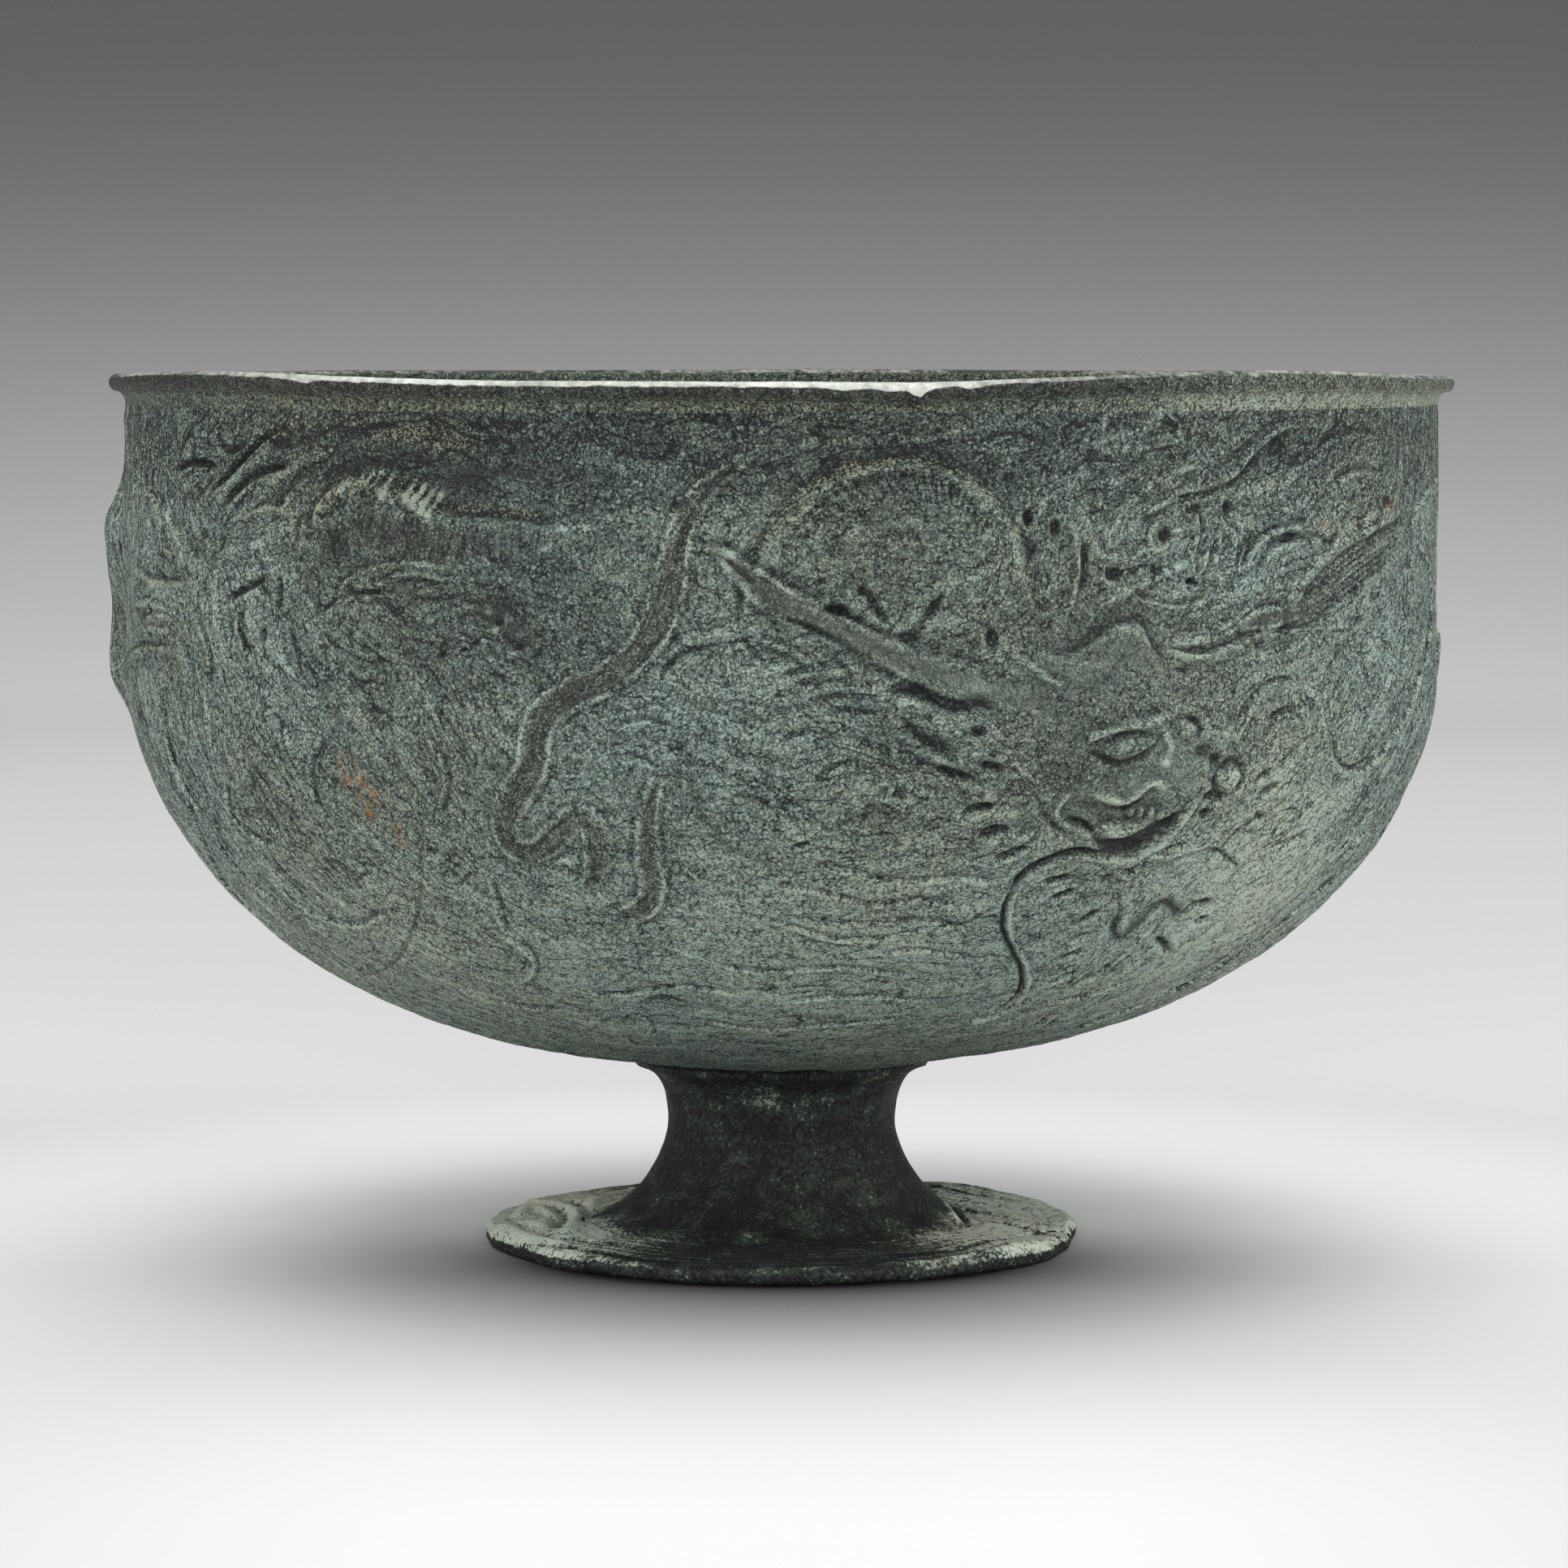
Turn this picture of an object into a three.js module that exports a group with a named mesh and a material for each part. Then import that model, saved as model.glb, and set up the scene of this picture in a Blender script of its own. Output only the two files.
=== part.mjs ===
// A footed bronze libation cup: a deep cast bowl with an applied rim band,
// soldered and riveted to a hollow cast foot.
// Millimetres, +Z up. The origin is the centre of the foot's underside, and the cup's front faces -Y.

import * as THREE from "three";

// Foot: one casting, a spreading base and a waisted stem with a flange on top, hollow from below
const FOOT_DIAMETER = 56;
const FOOT_HEIGHT = 17.4;
const BASE_EDGE = 1.9;
const BASE_EDGE_ROUND = 0.7;
const FLARE_DIAMETER = 37;
const FLARE_TOE_RISE = 0.2;
const WAIST_DIAMETER = 21.4;
const WAIST_HEIGHT = 11.6;
const FLANGE_DIAMETER = 27.6;
const FLANGE_EDGE = 0.5;
const STEM_WALL = 2.4;
const STEM_WEB = 3;
const HOLLOW_MOUTH_DIAMETER = 30;

// Shapes of the foot's curves: how far each one leans towards its ends, as shares of its run
const FLARE_SPREAD = 0.58;
const FLARE_RISE = 0.04;
const WAIST_HOLD = 0.68;
const FLANGE_HOLD = 0.55;
const FLANGE_SPREAD = 0.3;
const FLANGE_RISE = 0.9;
const HOLLOW_HOLD = 0.5;
const HOLLOW_SPREAD = 0.4;

// Bowl: one casting, a rounded belly under an upright wall
const BELLY_DIAMETER = 122;
const BELLY_DEPTH = 35.4;
const UPRIGHT_HEIGHT = 25.8;
const BOWL_WALL = 2.4;
const BOWL_FLOOR = 2.8;
const SEAT_PAD_DIAMETER = 23;

// Exponents of the belly's superellipse, down the depth and out along the radius
const BELLY_ROUNDNESS = 1.72;
const BELLY_FULLNESS = 2.66;

// Relief: the main masses of a dragon among clouds, cast with the bowl's wall. Each swells from the wall
// along a spine of [degrees from the front towards +X, height above the seat], and fades out over its reach
const RELIEF = {
  head: { spine: [[13, 39], [22, 38], [30, 35], [37, 29.5]], reach: 8.5, rise: 1.25 },
  beard: { spine: [[34, 22], [37, 18], [40, 15.5]], reach: 4.5, rise: 0.6 },
  neck: { spine: [[3, 46], [5, 52], [10, 54], [14, 51], [15.5, 45]], reach: 6.5, rise: 0.65 },
  flank: { spine: [[-41, 50.5], [-31, 51], [-21, 50]], reach: 4.5, rise: 0.65 },
  cloud: { spine: [[-70, 44.3], [-62, 42.3], [-54, 42.3]], reach: 6.5, rise: 0.75 },
  haunch: { spine: [[-84, 49.8], [-91, 43.3], [-88, 36.8]], reach: 8, rise: 1.4 },
  body: {
    spine: [[-98, 40], [-118, 31], [-140, 28.5], [-160, 35], [-178, 44.5], [-195, 44]],
    reach: 9,
    rise: 1.1,
  },
  tail: {
    spine: [[-195, 44], [-209, 35.5], [-222, 26.5], [-234, 23.5], [-245, 26], [-252, 31]],
    reach: 7,
    rise: 1.1,
  },
  leg: { spine: [[-150, 26], [-146, 19.5], [-152, 14.5], [-160, 11.5]], reach: 3.6, rise: 0.75 },
};

// Rim band: a moulded ring that caps the wall, with a skirt lapped into a rebate inside it
const RIM_OVERHANG = 1.5;
const RIM_HEIGHT = 2.6;
const RIM_LIP = 1.5;
const RIM_INNER_ROUND = 0.6;
const RIM_SKIRT = 0.9;
const RIM_LAP = 2.2;

// Soft solder that holds the rim band and the foot
const RIM_SOLDER = 0.3;
const FOOT_SOLDER = 0.3;

// Rivet through the bowl's floor and the top web of the stem
const RIVET_DIAMETER = 5;
const RIVET_CLEARANCE = 0.1;
const RIVET_HEAD_DIAMETER = 10.4;
const RIVET_HEAD_HEIGHT = 1.5;
const RIVET_TAIL_DIAMETER = 8.4;
const RIVET_TAIL_HEIGHT = 1.3;
const RIVET_SEAT_MARGIN = 0.8;
const RIVET_CROWN_SPREAD = 0.5;

// Steps round each turned piece, along the belly, up the wall above it and along each small curve
const TURN_STEPS = 48;
const BELLY_STEPS = 10;
const UPRIGHT_STEPS = 6;
const CURVE_STEPS = 4;

// Radii and levels that pieces share
const bellyRadius = BELLY_DIAMETER / 2;
const innerRadius = bellyRadius - BOWL_WALL;
const skirtRadius = innerRadius + RIM_SKIRT;
const rebateRadius = skirtRadius + RIM_SOLDER;
const waistRadius = WAIST_DIAMETER / 2;
const flangeRadius = FLANGE_DIAMETER / 2;
const seatPadRadius = SEAT_PAD_DIAMETER / 2;
const rivetHoleRadius = RIVET_DIAMETER / 2 + RIVET_CLEARANCE;
const rivetSeatRadius = RIVET_HEAD_DIAMETER / 2 + RIVET_SEAT_MARGIN;

const webLevel = FOOT_HEIGHT - STEM_WEB;
const seatLevel = FOOT_HEIGHT + FOOT_SOLDER;
const floorLevel = seatLevel + BOWL_FLOOR;
const uprightLevel = seatLevel + BELLY_DEPTH;
const shoulderLevel = uprightLevel + UPRIGHT_HEIGHT;
const lapLevel = shoulderLevel - RIM_LAP;
const rimLevel = shoulderLevel + RIM_HEIGHT;

const finish = (color, roughness, metalness) =>
  new THREE.MeshStandardMaterial({ color, roughness, metalness });
const patinatedBronze = finish(0x66736d, 0.75, 0.35);
const darkBronze = finish(0x3f4742, 0.7, 0.4);
const rubbedBronze = finish(0x8d978f, 0.5, 0.6);
const softSolder = finish(0x9a9c98, 0.45, 0.8);

// Turns a closed half section, listed anticlockwise as [radius, height] points, about the vertical axis.
function turned(name, section, material, steps = TURN_STEPS) {
  const outline = [...section, section[0]].map(([radius, height]) => new THREE.Vector2(radius, height));
  const geometry = new THREE.LatheGeometry(outline, steps);
  geometry.rotateX(Math.PI / 2);
  const mesh = new THREE.Mesh(geometry, material);
  mesh.name = name;
  return mesh;
}

// Points of a curve as [radius, height] pairs, without its first point, which the section already holds.
function along(curve) {
  return curve
    .getPoints(CURVE_STEPS)
    .slice(1)
    .map((point) => [point.x, point.y]);
}

function arc(centreRadius, centreHeight, size, fromDegrees, toDegrees) {
  const [from, to] = [fromDegrees, toDegrees].map(THREE.MathUtils.degToRad);
  return along(new THREE.EllipseCurve(centreRadius, centreHeight, size, size, from, to, to < from));
}

function bezier(start, startControl, endControl, end) {
  const points = [start, startControl, endControl, end].map(([x, y]) => new THREE.Vector2(x, y));
  return along(new THREE.CubicBezierCurve(...points));
}

// Superellipse quarter of the belly, from a radius near the axis out to the upright wall.
function bellySection(radius, depth, startRadius) {
  const startTurn = Math.asin((startRadius / radius) ** (BELLY_FULLNESS / 2));
  const points = [];
  for (let step = 0; step <= BELLY_STEPS; step++) {
    const turn = THREE.MathUtils.lerp(startTurn, Math.PI / 2, step / BELLY_STEPS);
    const drop = depth * Math.max(Math.cos(turn), 0) ** (2 / BELLY_ROUNDNESS);
    points.push([radius * Math.sin(turn) ** (2 / BELLY_FULLNESS), uprightLevel - drop]);
  }
  return points;
}

// How far the relief stands out from the wall at a place on it, given in degrees and height above the seat.
function reliefAt(degrees, height) {
  const laidFlat = (turn, rise) => new THREE.Vector3(THREE.MathUtils.degToRad(turn) * bellyRadius, rise, 0);
  const turn = degrees > 90 ? degrees - 360 : degrees;
  const place = laidFlat(turn, height);
  const nearest = new THREE.Vector3();
  let most = 0;
  for (const { spine, reach, rise } of Object.values(RELIEF)) {
    for (let end = 1; end < spine.length; end++) {
      const stretch = new THREE.Line3(laidFlat(...spine[end - 1]), laidFlat(...spine[end]));
      stretch.closestPointToPoint(place, true, nearest);
      most = Math.max(most, rise * (1 - THREE.MathUtils.smoothstep(nearest.distanceTo(place), 0, reach)));
    }
  }
  return most;
}

// Casts the relief on the outer wall of the turned bowl, between two rows of its points. On every other row,
// each second column lies on the flat between its neighbours, as the faces that seat against it do.
function castRelief(geometry, rows, wallStart, wallEnd) {
  const onFlat = Math.cos(Math.PI / TURN_STEPS);
  const points = geometry.attributes.position;
  const point = new THREE.Vector3();
  for (let index = 0; index < points.count; index++) {
    const row = index % rows;
    const column = Math.floor(index / rows);
    point.fromBufferAttribute(points, index);
    let scale = column % 2 === 0 ? 1 : onFlat;
    if (row > wallStart && row < wallEnd) {
      const degrees = (column * 180) / TURN_STEPS;
      scale = 1 + reliefAt(degrees, point.z - seatLevel) / Math.hypot(point.x, point.y);
    }
    points.setXYZ(index, point.x * scale, point.y * scale, point.z);
  }
  geometry.computeVertexNormals();
}

function makeBowl() {
  const underside = [
    [rivetHoleRadius, seatLevel],
    [seatPadRadius, seatLevel],
  ];
  const outside = bellySection(bellyRadius, BELLY_DEPTH, seatPadRadius);
  for (let step = 1; step <= UPRIGHT_STEPS; step++) {
    outside.push([bellyRadius, uprightLevel + (UPRIGHT_HEIGHT * step) / UPRIGHT_STEPS]);
  }
  const inside = bellySection(innerRadius, BELLY_DEPTH - BOWL_FLOOR, rivetSeatRadius).reverse();
  const section = [
    ...underside,
    ...outside,
    [rebateRadius, shoulderLevel],
    [rebateRadius, lapLevel],
    [innerRadius, lapLevel],
    ...inside,
    [rivetSeatRadius, floorLevel],
    [rivetHoleRadius, floorLevel],
  ];
  const bowl = turned("bowl", section, patinatedBronze, 2 * TURN_STEPS);
  const wallEnd = underside.length + outside.length - 1;
  castRelief(bowl.geometry, section.length + 1, underside.length, wallEnd);
  return bowl;
}

function makeRimBand() {
  const lipRadius = RIM_LIP / 2;
  const lipCentre = [bellyRadius + RIM_OVERHANG - lipRadius, rimLevel - lipRadius];
  const coveEnd = [lipCentre[0], rimLevel - RIM_LIP];
  const coveCorner = [bellyRadius, coveEnd[1]];
  const section = [
    [innerRadius, lapLevel],
    [skirtRadius, lapLevel],
    [skirtRadius, shoulderLevel],
    [bellyRadius, shoulderLevel],
    ...bezier([bellyRadius, shoulderLevel], coveCorner, coveCorner, coveEnd),
    ...arc(...lipCentre, lipRadius, -90, 90),
    [innerRadius + RIM_INNER_ROUND, rimLevel],
    ...arc(innerRadius + RIM_INNER_ROUND, rimLevel - RIM_INNER_ROUND, RIM_INNER_ROUND, 90, 180),
  ];
  return turned("rim_band", section, rubbedBronze);
}

function makeRimSolder() {
  const section = [
    [skirtRadius, lapLevel],
    [rebateRadius, lapLevel],
    [rebateRadius, shoulderLevel],
    [skirtRadius, shoulderLevel],
  ];
  return turned("rim_solder", section, softSolder);
}

function makeFoot() {
  const footRadius = FOOT_DIAMETER / 2;
  const hollowRadius = waistRadius - STEM_WALL;
  const mouthRadius = HOLLOW_MOUTH_DIAMETER / 2;
  const edgeCentre = footRadius - BASE_EDGE_ROUND;
  const toe = [FLARE_DIAMETER / 2, BASE_EDGE + FLARE_TOE_RISE];
  const waist = [waistRadius, WAIST_HEIGHT];
  const flangeUnderside = [flangeRadius, FOOT_HEIGHT - FLANGE_EDGE];
  const between = THREE.MathUtils.lerp;
  const section = [
    [mouthRadius, 0],
    [edgeCentre, 0],
    ...arc(edgeCentre, BASE_EDGE_ROUND, BASE_EDGE_ROUND, -90, 0),
    [footRadius, BASE_EDGE - BASE_EDGE_ROUND],
    ...arc(edgeCentre, BASE_EDGE - BASE_EDGE_ROUND, BASE_EDGE_ROUND, 0, 90),
    toe,
    ...bezier(
      toe,
      [between(toe[0], waistRadius, FLARE_SPREAD), between(toe[1], WAIST_HEIGHT, FLARE_RISE)],
      [waistRadius, between(toe[1], WAIST_HEIGHT, WAIST_HOLD)],
      waist,
    ),
    ...bezier(
      waist,
      [waistRadius, between(WAIST_HEIGHT, flangeUnderside[1], FLANGE_HOLD)],
      [
        between(waistRadius, flangeRadius, FLANGE_SPREAD),
        between(WAIST_HEIGHT, flangeUnderside[1], FLANGE_RISE),
      ],
      flangeUnderside,
    ),
    [flangeRadius, FOOT_HEIGHT],
    [rivetHoleRadius, FOOT_HEIGHT],
    [rivetHoleRadius, webLevel],
    [hollowRadius, webLevel],
    [hollowRadius, WAIST_HEIGHT],
    ...bezier(
      [hollowRadius, WAIST_HEIGHT],
      [hollowRadius, WAIST_HEIGHT * HOLLOW_HOLD],
      [between(hollowRadius, mouthRadius, HOLLOW_SPREAD), BASE_EDGE],
      [mouthRadius, 0],
    ).slice(0, -1),
  ];
  return turned("foot", section, darkBronze);
}

function makeFootSolder() {
  const section = [
    [rivetHoleRadius, FOOT_HEIGHT],
    [seatPadRadius, FOOT_HEIGHT],
    [seatPadRadius, seatLevel],
    [rivetHoleRadius, seatLevel],
  ];
  return turned("foot_solder", section, softSolder);
}

// The rivet is dropped in from inside the bowl and spread over under the stem's web.
function makeFootRivet() {
  const shankRadius = RIVET_DIAMETER / 2;
  const headRadius = RIVET_HEAD_DIAMETER / 2;
  const tailRadius = RIVET_TAIL_DIAMETER / 2;
  const headTop = floorLevel + RIVET_HEAD_HEIGHT;
  const tailEnd = webLevel - RIVET_TAIL_HEIGHT;
  const crown = (radius, level, end) =>
    bezier([radius, level], [radius, end], [radius * RIVET_CROWN_SPREAD, end], [0, end]);
  const section = [
    [0, tailEnd],
    ...crown(tailRadius, webLevel, tailEnd).reverse().slice(1),
    [tailRadius, webLevel],
    [shankRadius, webLevel],
    [shankRadius, floorLevel],
    [headRadius, floorLevel],
    ...crown(headRadius, floorLevel, headTop),
  ];
  return turned("foot_rivet", section, darkBronze);
}

const cup = new THREE.Group();
cup.add(makeFoot(), makeFootSolder(), makeBowl(), makeFootRivet(), makeRimSolder(), makeRimBand());

export default cup;
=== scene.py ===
import math

import bpy
import numpy as np
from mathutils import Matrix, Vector


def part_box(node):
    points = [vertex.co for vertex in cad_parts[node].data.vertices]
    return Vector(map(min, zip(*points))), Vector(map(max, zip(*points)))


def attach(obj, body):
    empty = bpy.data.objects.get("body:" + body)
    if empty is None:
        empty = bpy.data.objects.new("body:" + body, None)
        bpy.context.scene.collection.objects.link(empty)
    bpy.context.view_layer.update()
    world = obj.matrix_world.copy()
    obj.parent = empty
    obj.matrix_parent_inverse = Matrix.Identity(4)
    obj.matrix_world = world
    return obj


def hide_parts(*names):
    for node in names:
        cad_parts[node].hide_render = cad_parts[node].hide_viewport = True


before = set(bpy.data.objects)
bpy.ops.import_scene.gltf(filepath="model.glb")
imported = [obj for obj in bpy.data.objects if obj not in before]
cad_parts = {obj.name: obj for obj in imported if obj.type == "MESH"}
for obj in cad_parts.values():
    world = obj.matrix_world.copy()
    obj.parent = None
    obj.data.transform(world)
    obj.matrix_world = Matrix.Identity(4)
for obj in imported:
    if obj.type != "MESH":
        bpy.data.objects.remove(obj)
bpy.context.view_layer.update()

# Camera: square on to the cup's front and a little above its rim, as the cup is seen on a table.
# Marks on the cup are named by their place in the picture from here, in pixels from its top left.
PICTURE_SIDE = 1932
FOCAL_PIXELS = 7170
SENSOR_WIDTH = 36
EYE = np.array((0.00023, -0.54545, 0.08652))
AIM = np.array((0.00023, 0.0, 0.04316))

camera_data = bpy.data.cameras.new("camera")
camera_data.sensor_width = SENSOR_WIDTH
camera_data.lens = FOCAL_PIXELS * SENSOR_WIDTH / PICTURE_SIDE
camera_data.clip_start = 0.01
camera = bpy.data.objects.new("camera", camera_data)
camera.location = EYE
camera.rotation_euler = Vector(AIM - EYE).to_track_quat("-Z", "Y").to_euler()
bpy.context.scene.collection.objects.link(camera)
bpy.context.scene.camera = camera


def sight_lines(pixels):
    """Directions in which the camera looks through points of its picture."""
    ahead = (AIM - EYE) / np.linalg.norm(AIM - EYE)
    right = np.array((1.0, 0.0, 0.0))
    above = np.cross(right, ahead)
    offset = np.array(pixels, float) - PICTURE_SIDE / 2
    sight = ahead * FOCAL_PIXELS + right * offset[:, :1] - above * offset[:, 1:]
    return sight / np.linalg.norm(sight, axis=1)[:, None]


# Foot: one bronze casting, a spreading base chased with a cloud and a waisted stem, hollow from below.
# The base is slightly lobed and chipped. The stem is dark with patina and painted shade, and the edge is worn
# pale.
MM = 0.001
BASE_EDGE = 1.9
BASE_EDGE_ROUND = 0.9
FLARE_RADIUS = 18.5
FLARE_TOE_RISE = 0.2
WAIST_RADIUS = 10.7
WAIST_HEIGHT = 11.6
FLANGE_RADIUS = 13.8
FLANGE_EDGE = 0.5
FLANGE_FILLET = 0.35
STEM_WALL = 2.4
STEM_WEB = 3.0
HOLLOW_MOUTH_RADIUS = 15.0
RIVET_HOLE_RADIUS = 2.6
foot_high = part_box("foot")[1]
foot_radius = foot_high[0] / MM
foot_height = foot_high[2] / MM


def arc(radius, height, size, start, end, count):
    """Points of a round corner as radius and height, between two directions in degrees."""
    turn = np.radians(np.linspace(start, end, count))
    return list(zip(radius + size * np.cos(turn), height + size * np.sin(turn)))


def bend(start, start_control, end_control, end, count):
    """Points of a curve between two places, leaning towards its controls."""
    t = np.linspace(0, 1, count)[:, None]
    start, start_control, end_control, end = map(np.array, (start, start_control, end_control, end))
    near_start = start * (1 - t) ** 3 + 3 * start_control * t * (1 - t) ** 2
    near_end = 3 * end_control * t ** 2 * (1 - t) + end * t ** 3
    return list(map(tuple, near_start + near_end))


def straight(start, end, count):
    """Points along a straight stretch of a section."""
    return list(zip(np.linspace(start[0], end[0], count), np.linspace(start[1], end[1], count)))


def part_way(start, end, share):
    return start + (end - start) * share


edge_centre = foot_radius - BASE_EDGE_ROUND
hollow_radius = WAIST_RADIUS - STEM_WALL
web_level = foot_height - STEM_WEB
toe = (FLARE_RADIUS, BASE_EDGE + FLARE_TOE_RISE)
waist = (WAIST_RADIUS, WAIST_HEIGHT)
flange_under = (FLANGE_RADIUS, foot_height - FLANGE_EDGE)
flange_over = (FLANGE_RADIUS, foot_height + FLANGE_FILLET)
hollow_top = (hollow_radius, WAIST_HEIGHT)
hollow_mouth = (HOLLOW_MOUTH_RADIUS, 0)
flare_lean = (part_way(toe[0], WAIST_RADIUS, 0.58), part_way(toe[1], WAIST_HEIGHT, 0.04))
waist_lean = (WAIST_RADIUS, part_way(toe[1], WAIST_HEIGHT, 0.68))
stem_lean = (WAIST_RADIUS, part_way(WAIST_HEIGHT, flange_under[1], 0.55))
flange_lean = (part_way(WAIST_RADIUS, FLANGE_RADIUS, 0.3), part_way(WAIST_HEIGHT, flange_under[1], 0.9))
hollow_lean = (hollow_radius, WAIST_HEIGHT / 2)
mouth_lean = (part_way(hollow_radius, HOLLOW_MOUTH_RADIUS, 0.4), BASE_EDGE)
foot_section = (
    straight(hollow_mouth, (edge_centre, 0), 20)
    + arc(edge_centre, BASE_EDGE_ROUND, BASE_EDGE_ROUND, -75, 0, 6)
    + arc(edge_centre, BASE_EDGE - BASE_EDGE_ROUND, BASE_EDGE_ROUND, 0, 90, 7)
    + straight((edge_centre, BASE_EDGE), toe, 30)[1:]
    + bend(toe, flare_lean, waist_lean, waist, 42)[1:]
    + bend(waist, stem_lean, flange_lean, flange_under, 20)[1:]
    + straight(flange_over, (FLANGE_RADIUS - 1.6, foot_height), 4)
    + straight((FLANGE_RADIUS - 3, foot_height), (RIVET_HOLE_RADIUS, foot_height), 6)
    + straight((RIVET_HOLE_RADIUS, web_level), (hollow_radius, web_level), 5)
    + bend(hollow_top, hollow_lean, mouth_lean, hollow_mouth, 16)[:-1]
)


def put(tree, kind, feeds, **settings):
    """Adds a node with its settings, and feeds its inputs from other nodes' sockets or plain values."""
    node = tree.nodes.new(kind)
    for name, value in settings.items():
        setattr(node, name, value)
    for place, value in feeds.items():
        if isinstance(value, bpy.types.NodeSocket):
            tree.links.new(value, node.inputs[place])
        else:
            node.inputs[place].default_value = value
    return node


# A node tree that turns a section round the upright axis and makes the surface slightly uneven
turning = bpy.data.node_groups.new("turning", "GeometryNodeTree")
turning.interface.new_socket("Geometry", in_out="OUTPUT", socket_type="NodeSocketGeometry")
turning_inputs = {"Section": "Object", "Ring Radius": "Float", "Steps": "Int", "Unevenness": "Float",
                  "Dents Per Metre": "Float", "Seed": "Float", "Finish": "Material"}
for name, kind in turning_inputs.items():
    turning.interface.new_socket(name, in_out="INPUT", socket_type="NodeSocket" + kind)
given = turning.nodes.new("NodeGroupInput").outputs
section_shape = put(turning, "GeometryNodeObjectInfo", {"Object": given["Section"]}).outputs["Geometry"]
section_curve = put(turning, "GeometryNodeMeshToCurve", {"Mesh": section_shape}).outputs["Curve"]
circle_feeds = {"Resolution": given["Steps"], "Radius": given["Ring Radius"]}
circle = put(turning, "GeometryNodeCurvePrimitiveCircle", circle_feeds).outputs["Curve"]
swept_feeds = {"Curve": circle, "Profile Curve": section_curve}
swept = put(turning, "GeometryNodeCurveToMesh", swept_feeds).outputs["Mesh"]
merged = put(turning, "GeometryNodeMergeByDistance", {"Geometry": swept, "Distance": 1e-6}).outputs[0]
dent_feeds = {"Scale": given["Dents Per Metre"], "Detail": 3.0, "W": given["Seed"]}
dents = put(turning, "ShaderNodeTexNoise", dent_feeds, noise_dimensions="4D").outputs[0]
centred = put(turning, "ShaderNodeMath", {0: dents, 1: 0.5}, operation="SUBTRACT").outputs[0]
swing = put(turning, "ShaderNodeMath", {0: centred, 1: given["Unevenness"]}, operation="MULTIPLY").outputs[0]
outwards = put(turning, "GeometryNodeInputNormal", {}).outputs[0]
shift = put(turning, "ShaderNodeVectorMath", {0: outwards, "Scale": swing}, operation="SCALE").outputs[0]
moved = put(turning, "GeometryNodeSetPosition", {"Geometry": merged, "Offset": shift}).outputs[0]
rounded = put(turning, "GeometryNodeSetShadeSmooth", {0: moved}).outputs[0]
realized = put(turning, "GeometryNodeRealizeInstances", {"Geometry": rounded}).outputs[0]
finish_feeds = {"Geometry": realized, "Material": given["Finish"]}
finished = put(turning, "GeometryNodeSetMaterial", finish_feeds).outputs[0]
put(turning, "NodeGroupOutput", {0: finished})


def turned(name, section, steps, unevenness, dents_per_metre, seed, material):
    """Turns a section, given as radius and height in millimetres, into a plain mesh object."""
    section = np.array(section)
    ring_radius = section[:, 0].mean()
    flat = [((radius - ring_radius) * MM, -height * MM, 0.0) for radius, height in section]
    edges = [(i, i + 1) for i in range(len(flat) - 1)]
    if section[0, 0] > 0:
        edges.append((len(flat) - 1, 0))
    outline = bpy.data.meshes.new(name + "_section")
    outline.from_pydata(flat, edges, [])
    section_object = bpy.data.objects.new(name + "_section", outline)
    carrier = bpy.data.objects.new(name + "_carrier", bpy.data.meshes.new(name + "_carrier"))
    for item in (section_object, carrier):
        bpy.context.scene.collection.objects.link(item)
    modifier = carrier.modifiers.new("turning", "NODES")
    modifier.node_group = turning
    values = {"Section": section_object, "Ring Radius": ring_radius * MM, "Steps": steps,
              "Unevenness": unevenness * MM, "Dents Per Metre": dents_per_metre, "Seed": seed,
              "Finish": material}
    for item in turning.interface.items_tree:
        if item.in_out == "INPUT":
            modifier[item.identifier] = values[item.name]
    depsgraph = bpy.context.evaluated_depsgraph_get()
    mesh = bpy.data.meshes.new_from_object(carrier.evaluated_get(depsgraph))
    mesh.name = name
    bpy.data.objects.remove(carrier)
    bpy.data.objects.remove(section_object)
    piece = bpy.data.objects.new(name, mesh)
    bpy.context.scene.collection.objects.link(piece)
    return piece


def colour(red, green, blue):
    """A colour given as screen values, as linear light."""
    return tuple((channel / 255) ** 2.2 for channel in (red, green, blue)) + (1.0,)


def maths(tree, operation, first, second=0.0):
    return put(tree, "ShaderNodeMath", {0: first, 1: second}, operation=operation).outputs[0]


def product(tree, value, *factors):
    for factor in factors:
        value = maths(tree, "MULTIPLY", value, factor)
    return value


def total(tree, *terms):
    """Sum of terms, each of them a value or a pair of a value and its factor."""
    value, *others = [product(tree, *term) if isinstance(term, tuple) else term for term in terms]
    for other in others:
        value = maths(tree, "ADD", value, other)
    return value


def between(tree, low, high, value, easing="SMOOTHSTEP"):
    """Share from 0 to 1 of the way that a value has come from low to high."""
    feeds = {"Value": value, "From Min": low, "From Max": high}
    return put(tree, "ShaderNodeMapRange", feeds, interpolation_type=easing).outputs["Result"]


def blend(tree, share, first, second):
    return put(tree, "ShaderNodeMix", {0: share, 6: first, 7: second}, data_type="RGBA").outputs[2]


def noise(tree, place, scale, detail=2.0):
    """Random unevenness about zero."""
    feeds = {"Vector": place, "Scale": scale, "Detail": detail, "Roughness": 0.6}
    return maths(tree, "SUBTRACT", put(tree, "ShaderNodeTexNoise", feeds).outputs[0], 0.5)
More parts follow.
